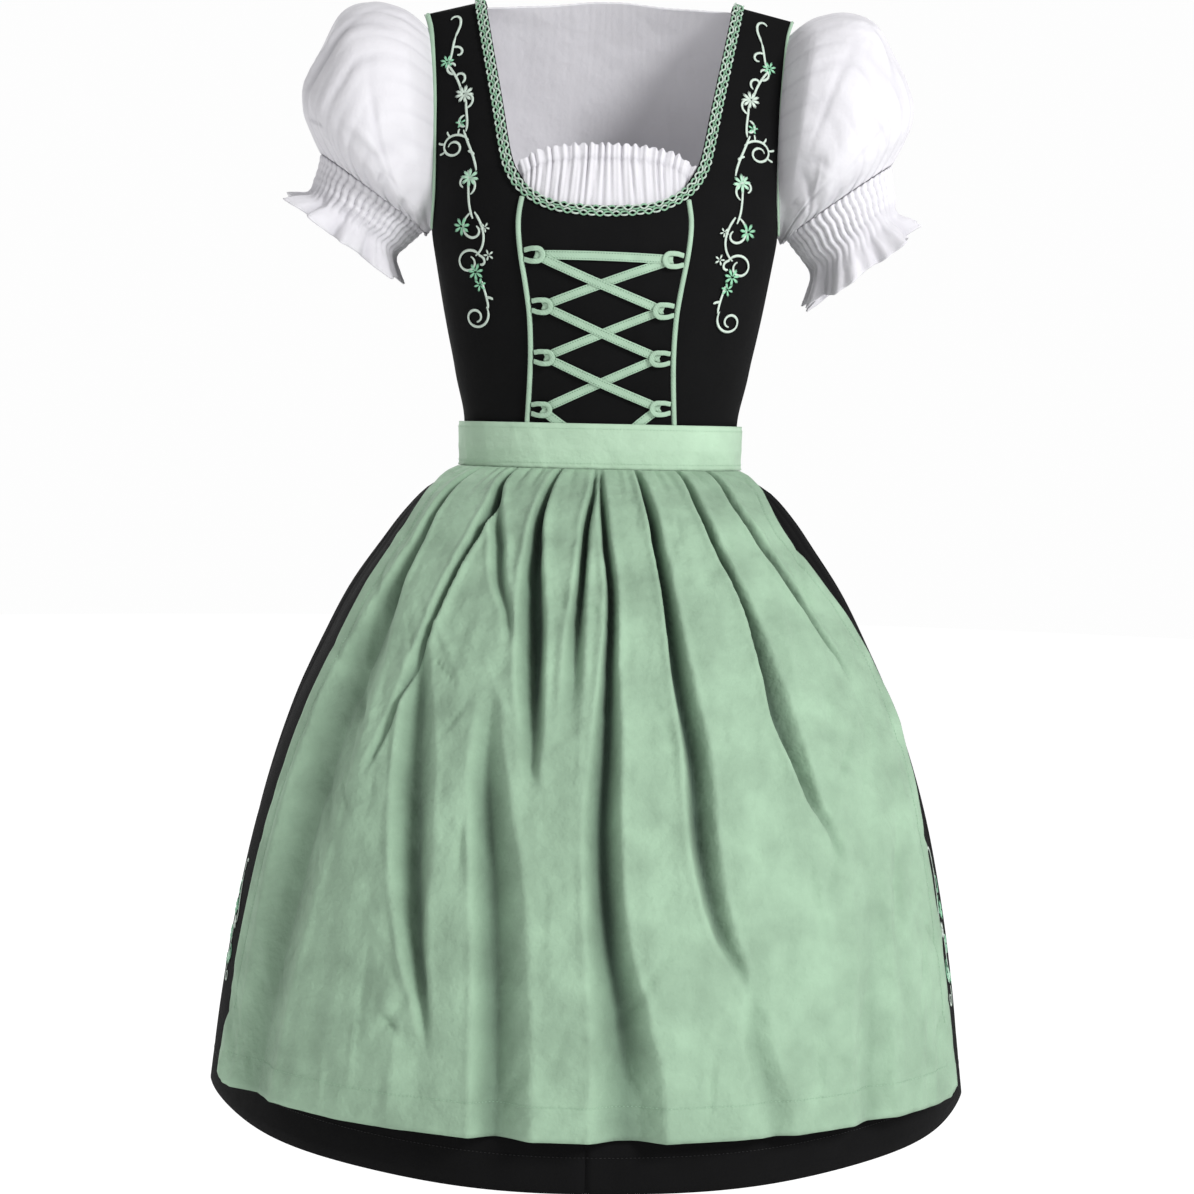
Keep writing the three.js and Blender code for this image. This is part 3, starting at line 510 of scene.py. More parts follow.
# Points a set distance apart along a dense line, with its directions, for a row of stitches.
def spaced(path, outward, spacing):
    steps = np.linalg.norm(np.diff(path, axis=0), axis=-1)
    length = np.concatenate([[0], np.cumsum(steps)])
    count = max(2, int(length[-1] / spacing))
    at = (np.arange(count) + 0.5) * length[-1] / count
    points = np.stack([np.interp(at, length, path[:, k]) for k in range(3)], -1)
    out = np.stack([np.interp(at, length, outward[:, k]) for k in range(3)], -1)
    tangent = np.gradient(path, axis=0)
    along = np.stack([np.interp(at, length, tangent[:, k]) for k in range(3)], -1)
    along /= np.linalg.norm(along, axis=-1, keepdims=True)
    return points, along, out


def gridNormals(points):
    normal = np.cross(np.gradient(points, axis=0), np.gradient(points, axis=1))
    return normal / np.maximum(np.linalg.norm(normal, axis=-1, keepdims=True), 1e-9)


def smoothLine(route, count):
    route = np.asarray(route, float)
    steps = np.linalg.norm(np.diff(route, axis=0), axis=-1)
    key = np.concatenate([[0], np.cumsum(steps)])
    at = np.linspace(0, key[-1], count)
    columns = {"key": key}
    result = []
    for k in range(route.shape[1]):
        columns["value"] = route[:, k]
        result.append(readTable(columns, "key", "value", at))
    return np.stack(result, -1)


print("stage: camera and lights")
studio = {
    "camera": (0, -2.0, -0.386), "pitch": 4.6, "roll": 1.2, "lens": 64.5,
    "floorDrop": 1.38, "floorRadius": 9, "ambient": 0.36,
}
cameraData = bpy.data.cameras.new("camera")
cameraData.lens = studio["lens"]
cameraData.sensor_width = 36
camera = bpy.data.objects.new("camera", cameraData)
bpy.context.scene.collection.objects.link(camera)
pitchTurn = Matrix.Rotation(math.radians(90 - studio["pitch"]), 4, "X")
rollTurn = Matrix.Rotation(math.radians(studio["roll"]), 4, "Z")
camera.matrix_world = Matrix.Translation(studio["camera"]) @ pitchTurn @ rollTurn
bpy.context.scene.camera = camera
bpy.context.scene.view_settings.view_transform = "Standard"


def addLight(name, place, target, size, power, colour=(1, 1, 1)):
    data = bpy.data.lights.new(name, "AREA")
    data.shape = "DISK"
    data.size = size
    data.energy = power
    data.color = colour
    light = bpy.data.objects.new(name, data)
    bpy.context.scene.collection.objects.link(light)
    light.location = place
    light.rotation_euler = (Vector(target) - Vector(place)).to_track_quat("-Z", "Y").to_euler()


addLight("keyLight", (1.95, -2.05, 0.95), (0, 0, -0.45), 1.0, 80)
addLight("fillLight", (-1.9, -2.2, 0.2), (0, 0, -0.45), 1.8, 9)
addLight("backLight", (-1.3, 2.4, 1.2), (0, 0, -0.45), 1.6, 60)

world = bpy.data.worlds.new("world")
world.use_nodes = True
bpy.context.scene.world = world
worldNodes = world.node_tree.nodes
seen = worldNodes.new("ShaderNodeLightPath")
strength = worldNodes.new("ShaderNodeMapRange")
strength.inputs["To Min"].default_value = studio["ambient"]
strength.inputs["To Max"].default_value = 1
world.node_tree.links.new(seen.outputs["Is Camera Ray"], strength.inputs["Value"])
sky = worldNodes["Background"]
sky.inputs["Color"].default_value = (0.985, 0.985, 0.985, 1)
world.node_tree.links.new(strength.outputs["Result"], sky.inputs["Strength"])

floorMesh = bpy.data.meshes.new("floor")
rim = np.arange(96) * 2 * math.pi / 96
rimX = studio["floorRadius"] * np.sin(rim)
rimY = -studio["floorRadius"] * np.cos(rim)
rimZ = np.full(96, -studio["floorDrop"])
floorMesh.from_pydata(np.stack([rimX, rimY, rimZ], -1).tolist(), [], [list(range(96))])
floorMaterial, floorNodes, _ = newMaterial("floor")
floorNodes["Principled BSDF"].inputs["Base Color"].default_value = (0.2, 0.2, 0.2, 1)
floorNodes["Principled BSDF"].inputs["Roughness"].default_value = 0.9
floorNodes["Principled BSDF"].inputs["Specular IOR Level"].default_value = 0.1
floorNodes["Principled BSDF"].inputs["Emission Color"].default_value = (1, 1, 1, 1)
floorNodes["Principled BSDF"].inputs["Emission Strength"].default_value = 0.93
floorMesh.materials.append(floorMaterial)
floor = bpy.data.objects.new("floor", floorMesh)
bpy.context.scene.collection.objects.link(floor)

print("stage: apron")
# Each fold is a trough that runs down the apron: its share of the length, angle, the width of its
# right and left walls in millimetres, and how far the cloth falls back.
apron = {
    "top": 425.3, "middle": 946, "cornerDrop": 13, "across": 300, "down": 150,
    "hem": 27, "sideHem": 11,
    "sides": {
        "share": [0, 0.04, 0.09, 0.15, 0.3, 0.45, 0.7, 1],
        "right": [-72, -62, -57, -56.5, -57, -58.5, -59.5, -60],
        "left": [70, 59, 53, 55, 62, 63, 60.5, 60.5],
        "crown": [5, 8, 12, 14, 16, 17, 18, 19],
    },
    "folds": [
        {"share": [0, 0.05, 0.12, 0.2, 0.36, 0.6, 0.8, 1],
         "angle": [-47.5, -47.8, -47, -47, -47.5, -49, -50, -51],
         "right": [3, 5, 6, 12, 30, 34, 30, 26], "left": [3, 5, 6, 12, 34, 42, 38, 34],
         "depth": [3, 8, 10, 10, 12, 14, 12, 10]},
        {"share": [0, 0.03, 0.07, 0.15, 0.25, 0.34, 0.46, 0.5],
         "angle": [-30.5, -30, -29, -31.5, -33, -34, -37, -38],
         "right": [3, 3, 4, 4, 4, 4, 4, 4], "left": [3, 4, 7, 5, 5, 5, 4, 4],
         "depth": [3, 8, 14, 12, 8, 6, 3, 0]},
        {"share": [0.04, 0.08, 0.13, 0.19, 0.24, 0.3], "angle": [-28, -26.5, -24, -21, -17.5, -15.5],
         "right": [4, 6, 7, 7, 6, 5], "left": [4, 6, 7, 7, 6, 5], "depth": [0, 5, 8, 7, 4, 0]},
        {"share": [0.28, 0.36, 0.46, 0.53, 0.65, 0.75, 0.83, 0.88],
         "angle": [-33.5, -31.8, -29.8, -28.4, -26, -23.8, -21.8, -21],
         "right": [5, 10, 16, 17, 15, 10, 6, 5], "left": [6, 14, 24, 24, 18, 11, 7, 5],
         "depth": [0, 9, 14, 16, 15, 11, 5, 0]},
        {"share": [0, 0.05, 0.1, 0.16, 0.25, 0.34, 0.43, 0.5],
         "angle": [-12, -13.5, -14.8, -14.2, -12, -10.6, -9.6, -9.2],
         "right": [3, 4, 5, 9, 14, 14, 10, 8], "left": [3, 4, 6, 8, 10, 9, 8, 6],
         "depth": [3, 8, 15, 19, 20, 15, 7, 0]},
        {"share": [0.36, 0.44, 0.52, 0.64, 0.8, 1], "angle": [-17.4, -17, -16.2, -14.2, -12.6, -11.6],
         "right": [10, 11, 12, 13, 15, 16], "left": [8, 14, 22, 28, 30, 30],
         "depth": [0, 7, 14, 16, 16, 14]},
        {"share": [0, 0.05, 0.11, 0.2, 0.28, 0.36, 0.43], "angle": [-0.8, -1.2, -2.8, -3.2, -3.5, -3.6, -3.6],
         "right": [2.5, 3.5, 4, 6, 9, 10, 10], "left": [2.5, 3, 3.5, 4, 6, 8, 8],
         "depth": [2, 8, 13, 12, 8, 4, 0]},
        {"share": [0, 0.05, 0.12, 0.2, 0.32, 0.42, 0.55, 0.7, 0.82, 0.92, 1],
         "angle": [0.2, 0.4, 1.6, 2.8, 2.4, 2.2, 1.6, 2.6, 4.4, 5.2, 5.3],
         "right": [2.5, 3, 4, 4.5, 7, 12, 15, 18, 24, 28, 30],
         "left": [2.5, 3.5, 4, 5, 7, 10, 13, 14, 20, 26, 27],
         "depth": [2, 7, 12, 14, 15, 16, 18, 19, 19, 18, 17]},
        {"share": [0, 0.05, 0.11, 0.19, 0.32, 0.45, 0.58, 0.7, 0.77, 0.82],
         "angle": [11, 11.8, 13.5, 14.2, 14.6, 16, 16.2, 18, 21, 22],
         "right": [2.5, 4, 5, 5, 7, 12, 13, 10, 7, 6], "left": [2.5, 4, 5, 5.5, 9, 11, 11, 9, 6, 6],
         "depth": [3, 8, 14, 14, 15, 15, 14, 9, 3, 0]},
        {"share": [0, 0.06, 0.14, 0.24, 0.32, 0.4, 0.51, 0.56, 0.62],
         "angle": [27.8, 26.5, 28.8, 31.2, 31.8, 32.6, 35, 37.4, 39],
         "right": [2.5, 4, 4.5, 5, 7, 11, 9, 7, 6], "left": [2.5, 4, 5, 5.5, 9, 10, 8, 6, 6],
         "depth": [3, 8, 13, 13, 13, 12, 8, 4, 0]},
        {"share": [0, 0.06, 0.11, 0.16, 0.22, 0.27, 0.31, 0.35], "angle": [43, 39, 41, 43, 45.5, 48, 51, 52],
         "right": [3, 4, 5, 5, 5, 5, 4, 4], "left": [3, 4, 5, 5, 5, 5, 4, 4],
         "depth": [3, 8, 12, 12, 10, 7, 3, 0]},
        {"share": [0.72, 0.85, 0.94, 1], "angle": [23, 22, 24, 24.5], "right": [10, 12, 14, 14],
         "left": [10, 12, 14, 14], "depth": [0, 4, 5, 4]},
        {"share": [0.55, 0.75, 0.9, 1], "angle": [44, 43, 41, 40], "right": [16, 22, 24, 24],
         "left": [16, 22, 24, 24], "depth": [0, 4, 6, 6]},
    ],
    # Short tucks between the folds, just under the band: angles.
    "tucks": [-62, -55, -39, -35, -24, -19, -7.5, 5, 8, 18, 22, 34, 48, 56],
}


# Short creases of crisp cotton, scattered with a fixed seed over a surface measured in millimetres.
def creaseField(across, down, count, seed, size, lean, deepest):
    scatter = np.random.default_rng(seed)
    field = np.zeros(np.broadcast_shapes(across.shape, down.shape))
    for _ in range(count):
        middleX = scatter.uniform(across.min(), across.max())
        middleY = scatter.uniform(down.min(), down.max())
        angle = math.radians(scatter.normal(lean[0], lean[1]))
        length = scatter.uniform(*size)
        width = length * scatter.uniform(0.09, 0.2)
        deep = deepest * scatter.uniform(-0.7, 1)
        along = (down - middleY) * math.cos(angle) + (across - middleX) * math.sin(angle)
        aside = (across - middleX) * math.cos(angle) - (down - middleY) * math.sin(angle)
        reach = np.clip(1 - (along / length) ** 2, 0, 1) ** 1.5
        field += deep * reach * np.clip(1 - np.abs(aside) / width, 0, 1) ** 1.2
    return field


def arcLength(drop, angle):
    steps = np.linalg.norm(np.diff(skirtForm(drop, angle), axis=1), axis=-1)
    start = np.zeros((len(drop), 1))
    return np.hstack([start, np.cumsum(steps, axis=1)])


def apronSurface():
    shares = (np.linspace(0, 1, apron["down"]) ** 1.25)[:, None]
    right = readTable(apron["sides"], "share", "right", shares)
    left = readTable(apron["sides"], "share", "left", shares)
    crown = readTable(apron["sides"], "share", "crown", shares)
    across = np.linspace(0, 1, apron["across"])[None]
    degrees = mix(right, left, across)
    bottom = apron["middle"] + apron["cornerDrop"] * (degrees / 60) ** 2
    corner = smooth(0.96, 1, np.abs(2 * across - 1))
    drop = mix(apron["top"], bottom - 7 * corner * shares ** 20, shares)
    arc = arcLength(drop, np.radians(degrees))
    depth = np.zeros_like(arc)
    lip = np.zeros_like(arc)
    dark = np.zeros_like(arc)
    for fold in apron["folds"]:
        at = np.clip(shares, fold["share"][0], fold["share"][-1])
        angle = readTable(fold, "share", "angle", at)
        rightWidth = readTable(fold, "share", "right", at)
        leftWidth = readTable(fold, "share", "left", at)
        deep = np.maximum(0, readTable(fold, "share", "depth", at))
        middle = np.stack([np.interp(a, d, s) for a, d, s in zip(angle[:, 0], degrees, arc)])[:, None]
        distance = arc - middle
        width = np.where(distance < 0, rightWidth, leftWidth)
        inside = np.clip(np.abs(distance) / width, 0, 1)
        wall = deep * (0.3 * (1 - inside ** 2) ** 1.3 + 0.7 * (1 - inside) ** 1.1)
        depth += (1.35 * wall) ** 3
        # Painted shade: dark grows in narrow deep troughs and later darkens the cloth's colour there.
        evenWidth = mix(rightWidth, leftWidth, smooth(-9, 9, distance))
        dark = np.maximum(dark, wall / (5 + 0.8 * evenWidth))
        past = (np.abs(distance) - width - 2.2) / 3
        lip += 2.1 * np.clip(deep / 10, 0, 1) * np.exp(-past ** 2) * np.clip(9 / width, 0.3, 1)
    depth = depth ** (1 / 3)
    for angle in apron["tucks"]:
        near = np.radians(degrees - angle) * 110 / 2.2
        depth = np.maximum(depth, 2.2 * np.exp(-near ** 2) * np.exp(-((shares - 0.0) / 0.045) ** 2))
    ripple = np.sin(degrees * 0.31 + 5.1 * shares) + 0.7 * np.sin(degrees * 0.73 - 7 * shares + 1.3)
    ripple = ripple + 0.4 * np.sin(degrees * 1.45 + 11 * shares + 0.6)
    edge = np.minimum(arc, arc[:, -1:] - arc)
    hemUp = bottom - drop
    hemStep = 0.5 * smooth(apron["hem"] + 1, apron["hem"] - 1, hemUp)
    seam = 0.6 * np.exp(-((hemUp - apron["hem"]) / 1.2) ** 2)
    sideStep = 0.5 * smooth(apron["sideHem"] + 1, apron["sideHem"] - 1, edge)
    sideSeam = 0.5 * np.exp(-((edge - apron["sideHem"]) / 1.2) ** 2)
    lift = crown + lip + 0.8 * ripple * smooth(0.02, 0.3, shares) - depth
    lift = lift + hemStep + sideStep - seam - sideSeam
    crumple = creaseField(arc - arc[:, -1:] / 2, drop, 300, 7, (20, 80), (4, 32), 3.3)
    lift = lift - crumple * smooth(0.03, 0.2, shares) * smooth(0, 18, hemUp)
    least = mix(-9.0, 2.5, smooth(885, 925, drop))
    lift = least + np.log1p(np.exp((lift - least) / 1.5)) * 1.5
    fade = smooth(0, 0.02, shares)
    lift = mix(np.minimum(lift, 4.4), lift, fade)
    points = offForm(skirtForm, drop, np.radians(degrees), lift)
    points[..., 2] = np.minimum(points[..., 2], -apron["top"])
    # The painted shade field, which mixes in the fold colour.
    paintedShade = 0.96 * np.clip(dark, 0, 1) ** 1.15
    return points, paintedShade, hemUp, edge


apronPoints, apronShade, apronHemUp, apronEdge = apronSurface()
apronPanel = clothGrid(
    "apron_panel_cloth", apronPoints, mintCotton, ["apron_panel"],
    clothThickness["apron"],
    paintedShade=apronShade)

# A line of stitches along the hem and the turned side edges.
apronNormals = gridNormals(apronPoints)


def rowNear(values, wanted):
    at = np.argmin(np.abs(values - wanted), axis=0)
    columns = np.arange(values.shape[1])
    return at, columns


hemRow, hemColumn = rowNear(apronHemUp, apron["hem"])
hemLine = apronPoints[hemRow, hemColumn] + 0.3 * apronNormals[hemRow, hemColumn]
hemRun = spaced(hemLine[6:-6], apronNormals[hemRow, hemColumn][6:-6], 3.2)
sideRuns = []
for half in (slice(0, 40), slice(-40, None)):
    sideAt, sideRow = rowNear(apronEdge[:, half].T, apron["sideHem"])
    start = 0 if half.start == 0 else apron["across"] - 40
    line = apronPoints[sideRow, start + sideAt] + 0.3 * apronNormals[sideRow, start + sideAt]
    sideRuns.append(spaced(line[12:-14], apronNormals[sideRow, start + sideAt][12:-14], 3.2))
stitches("apron_hem_stitches", [hemRun, *sideRuns], 2.3, 0.5, 0.5, mintThread)

print("stage: skirt")
skirt = {
    "top": 405.3, "hem": 30, "pushed": 13,
    "folds": {
        "angle": [84, 103, 119, 137, 153, 171, 189, 207, 224, 241, 258, 276],
        "half": [7, 6, 7, 6, 7, 6, 7, 6, 7, 6, 6, 7],
        "depth": [7, 12, 10, 14, 11, 14, 12, 14, 10, 13, 10, 7],
        "drift": [1, -1.5, 1.5, -1, 2, -1.5, 1, 2, -2, 1, -1, 1],
    },
    # Small gathers let into the waist seam between the large folds.
    "gathers": 64,
}


def skirtLift(drop, degrees):
    turned = (degrees + 360) % 360
    share = (drop - bandFoot) / (hemDrop - bandFoot)
    depth = np.zeros(np.broadcast_shapes(np.shape(degrees), np.shape(drop)))
    for middle, half, deep, drift in zip(*skirt["folds"].values()):
        away = (turned - middle - drift * np.sin(3.3 * share + middle)) / half
        trough = 0.5 + 0.5 * np.cos(math.pi * np.clip(away, -1, 1))
        depth = np.maximum(depth, deep * trough ** 1.15 * np.clip((drop - bandFoot) / 180, 0, 1))
    gather = np.sin(np.radians(degrees) * skirt["gathers"] + 2 * np.sin(degrees * 0.21))
    gather = gather * 1.5 * smooth(424, 436, drop) * (1 - smooth(450, 640, drop))
    gather = np.minimum(gather, 0)
    beside = 1 - smooth(50, 57, np.abs((degrees + 180) % 360 - 180))
    under = beside * smooth(426, 450, drop) * (1 - smooth(915, 938, drop))
    soft = 1.2 * np.sin(degrees * 0.19 + 4 * share) * smooth(430, 560, drop)
    seam = 0.8 * np.exp(-(degrees / 0.35) ** 2) * smooth(900, 940, drop)
    hemSeam = 0.5 * np.exp(-((hemDrop - drop - skirt["hem"]) / 1.5) ** 2)
    return gather + soft - 1.2 - depth - skirt["pushed"] * under - seam - hemSeam


def skirtSurface(fromDegrees, toDegrees, across, down):
    degrees = np.linspace(fromDegrees, toDegrees, across)[None]
    drop = mix(skirt["top"], hemDrop, np.linspace(0, 1, down) ** 1.15)[:, None]
    return offForm(skirtForm, drop, np.radians(degrees), skirtLift(drop, degrees)), drop


skirtRuns = []
skirtPanels = [
    ("skirt_front_left", 0.0, 89.99, 90, 72),
    ("skirt_front_right", -89.99, 0.0, 90, 72),
    ("skirt_back", 89.99, 270.01, 210, 72),
]
for panelName, fromDegrees, toDegrees, across, down in skirtPanels:
    panelPoints, panelDrop = skirtSurface(fromDegrees, toDegrees, across, down)
    clothGrid(
        panelName + "_cloth", panelPoints, blackCotton, [panelName],
        clothThickness["dress"])
    panelNormals = gridNormals(panelPoints)
    hemAt = int(np.argmin(np.abs(hemDrop - panelDrop[:, 0] - skirt["hem"])))
    skirtRuns.append(spaced(panelPoints[hemAt] + 0.3 * panelNormals[hemAt], panelNormals[hemAt], 3.4))
stitches("skirt_hem_stitches", skirtRuns, 2.4, 0.5, 0.5, darkThread)

print("stage: bodice")
sideSeam = math.pi / 2 - 0.0003


def frontEdgeX(drop):
    return readTable(frontInnerEdge, "drop", "x", drop)


def wrinkled(drop, angle):
    degrees = np.degrees(angle)
    pulled = 0.4 * np.sin(degrees * 0.13 + 0.02 * drop) * smooth(190, 260, drop)
    crossways = 0.3 * np.sin(drop * 0.11 + 0.08 * degrees) * smooth(290, 350, drop)
    return pulled + crossways


def bodiceCentre():
    share = np.linspace(-1, 1, 50)[None]
    fall = np.linspace(0, 1, 50)[:, None]
    top = readTable(necklineCurve, "x", "drop", np.abs(share) * 69)
    drop = mix(top, 404.7, fall)
    x = share * (frontEdgeX(drop) - 0.15)
    pleat = 0.7 * np.exp(-((x + 30 - 0.03 * (drop - 200)) / 3.5) ** 2) + 0.6 * np.exp(-((x - 26) / 4) ** 2)
    return onBody(drop, x, -0.7 * pleat * smooth(195, 230, drop) - 0.1)


def bodiceSide():
    across = np.linspace(0, 1, 34)[None]
    drop = mix(topDrop, 404.7, np.linspace(0, 1, 84) ** 1.25)[:, None]
    inner = bodyAngle(drop, frontEdgeX(drop) + 0.15)
    hole = bodyAngle(drop, readTable(armholeEdge, "drop", "front", drop))
    outer = np.where(drop < armpitDrop, np.minimum(hole, sideSeam), sideSeam)
    angle = mix(inner, outer, across)
    return offForm(bodyForm, drop, angle, wrinkled(drop, angle) - 0.8)


def bodiceBack():
    across = np.linspace(0, 1, 34)[None]
    drop = mix(topDrop, 404.7, np.linspace(0, 1, 84) ** 1.25)[:, None]
    innerX = np.maximum(readTable(backInnerEdge, "drop", "x", drop), 0.15)
    inner = bodyAngle(drop, innerX, True)
    hole = bodyAngle(drop, readTable(armholeEdge, "drop", "back", drop), True)
    outer = np.where(drop < armpitDrop, np.maximum(hole, math.pi - sideSeam), math.pi - sideSeam)
    angle = mix(outer, inner, across)
    return offForm(bodyForm, drop, angle, wrinkled(drop, angle) - 0.8)


# The same grid for the other side of the body, with its columns turned round.
def otherSide(points):
    return (points * [-1, 1, 1])[:, ::-1]


bodicePieces = [clothGrid(
    "bodice_front_centre_cloth", bodiceCentre(), blackCotton, ["bodice_front_centre"],
    clothThickness["dress"])]
for part, points in (("bodice_side_front", bodiceSide()), ("bodice_back", bodiceBack())):
    for sideName, sidePoints in (("left", points), ("right", otherSide(points))):
        bodicePieces.append(clothGrid(
            f"{part}_{sideName}_cloth", sidePoints, blackCotton, [f"{part}_{sideName}"],
            clothThickness["dress"]))

print("stage: trims")
trims = {"pipingHalf": 2.3, "braidInset": 4.9, "repeat": 14.0, "swing": 1.8, "rowGap": 2.3, "strand": 0.82}


def pipingLine(side):
    drop = np.linspace(190, 404, 120)
    x = side * frontEdgeX(drop)
    centre = onBody(drop, x, 0.6)
    outward = onBody(drop, x, 1.6) - centre
    return centre, outward


def halfRound(half, rise, count=12):
    turn = np.linspace(0, math.pi, count)
    return np.stack([half * np.cos(turn), rise * np.sin(turn) - 0.2], -1)


pipingRuns = []
for sideName, side in (("left", 1), ("right", -1)):
    pipingPath, pipingOut = pipingLine(side)
    sweep(
        f"princess_piping_{sideName}_cord", pipingPath, pipingOut, halfRound(trims["pipingHalf"], 2.2),
        mintTape, [f"princess_piping_{sideName}"])
    for shift in (-1, 1):
        edgeDrop = np.linspace(200, 402, 200)
        edgeX = side * frontEdgeX(edgeDrop) + shift * (trims["pipingHalf"] + 0.5)
        edgePath = onBody(edgeDrop, edgeX, 0.1)
        pipingRuns.append(spaced(edgePath, onBody(edgeDrop, edgeX, 1.1) - edgePath, 2.8))
stitches("piping_stitches", pipingRuns, 1.9, 0.4, 0.4, darkThread)

armDrop = np.concatenate([np.linspace(211, 0.5, 90), np.linspace(0.5, 211, 90)])
armBack = np.arange(180) >= 90
for sideName, side in (("left", 1), ("right", -1)):
    width = 1.5 if side > 0 else 2.6
    armFront = readTable(armholeEdge, "drop", "front", armDrop)
    armX = np.where(armBack, readTable(armholeEdge, "drop", "back", armDrop), armFront) - 0.2 - width
    frontPart = onBody(armDrop[:90], side * armX[:90], 0.4)
    backPart = onBody(armDrop[90:], side * armX[90:], 0.4, True)
    frontOut = onBody(armDrop[:90], side * armX[:90], 1.4) - frontPart
    backOut = onBody(armDrop[90:], side * armX[90:], 1.4, True) - backPart
    armPath = np.concatenate([frontPart[:-1], backPart[1:]])
    armOut = np.concatenate([frontOut[:-1], backOut[1:]])
    sweep(
        f"armhole_piping_{sideName}_cord", armPath, armOut, halfRound(width, 1.8), mintTape,
        [f"armhole_piping_{sideName}"])


# A line along the neckline and the flat direction across it, in [x, drop].
def necklineRoute(back):
    inset = trims["braidInset"]
    if back:
        half = [[x + inset, drop] for drop, x in zip(backInnerEdge["drop"], backInnerEdge["x"]) if x > 40]
        half[0][1] = 0.6
        route = [*half, [33, 95], [0, 99], [-33, 95]]
        route += [[-x, drop] for x, drop in reversed(half)]
    else:
        half = [[113.5 + inset, 0.6], [102 + inset, 59], [92.5 + inset, 106], [85 + inset, 145]]
        half += [[80 + inset, 163], [73, 181.5], [51, 195.5], [28.5, 200.3]]
        route = [*[[-x, drop] for x, drop in half], [0, 202], *reversed(half)]
    return smoothLine(route, 2400)


def braidLines(back):
    route = necklineRoute(back)
    centre = onBody(route[:, 1], route[:, 0], 0, back)
    length = np.concatenate([[0], np.cumsum(np.linalg.norm(np.diff(centre, axis=0), axis=-1))])
    at = np.arange(0, length[-1], 0.9)
    x = np.interp(at, length, route[:, 0])
    drop = np.interp(at, length, route[:, 1])
    tangent = np.stack([np.gradient(x), np.gradient(drop)], -1)
    tangent /= np.linalg.norm(tangent, axis=-1, keepdims=True)
    phase = 2 * math.pi * at / trims["repeat"]
    lines = []
    for row in (-1, 1):
        for twist in (0, math.pi):
            swing = np.sin(phase + twist + row * 0.8)
            swing = np.sign(swing) * np.abs(swing) ** 0.7
            over = row * trims["rowGap"] + trims["swing"] * swing
            height = 1.5 + 0.55 * np.cos(2 * phase + row * 1.6) * (1 if twist == 0 else -1)
            strandX = x + tangent[:, 1] * over
            strandDrop = drop - tangent[:, 0] * over
            lines.append(onBody(np.maximum(strandDrop, 0.4), strandX, height, back))
    return lines


for place, back in (("front", False), ("back", True)):
    lines = braidLines(back)
    strands(f"neckline_braid_{place}_mint", [lines[0], lines[3]], trims["strand"], mintCord,
            [f"neckline_braid_{place}"])
    strands(f"neckline_braid_{place}_pale", [lines[1], lines[2]], trims["strand"], whiteCord)

print("stage: lacing")
lacing = {
    "right": [240, 283, 327, 373], "left": [242, 285, 326, 370], "reach": 19, "height": 15, "cord": 4.4,
    "tape": 8.0, "thickness": 0.7, "low": 1.6, "high": 2.7,
}


def loopPath(side, drop):
    root = frontEdgeX(drop) - 2.4 - 0.9
    half = lacing["height"] / 2 - lacing["cord"] / 2
    straight = lacing["reach"] - lacing["height"] / 2
    turn = np.linspace(math.pi / 2, -math.pi / 2, 24)
    legs = np.linspace(0, 1, 14)
    x = np.concatenate([straight * legs, straight + half * np.cos(turn)[1:-1], straight * legs[::-1]])
    up = np.concatenate([half + 0 * legs, half * np.sin(turn)[1:-1], -half + 0 * legs])
    pinch = 1 - 0.25 * np.exp(-(x / 4) ** 2)
    lift = 1.5 + 2.6 * np.clip(x / 9, 0, 1)
    bodyX = side * (root - x)
    path = onBody(drop - up * pinch, bodyX, lift)
    return path, onBody(drop - up * pinch, bodyX, lift + 1) - path


innerEnds = {"left": [], "right": []}
for sideName, side in (("left", 1), ("right", -1)):
    for k, drop in enumerate(lacing[sideName]):
        path, outward = loopPath(side, float(drop))
        profile = roundedProfile(lacing["cord"] / 2, 0.75)
        sweep(f"lacing_loop_{sideName}_{k + 1}_tape", path, outward, profile, mintTape,
              [f"lacing_loop_{sideName}_{k + 1}"])
        root = float(frontEdgeX(drop)) - 3.3
        tapeX = root - lacing["reach"] + lacing["cord"] + lacing["tape"] / 2 + 1
        innerEnds[sideName].append((side * tapeX, drop))

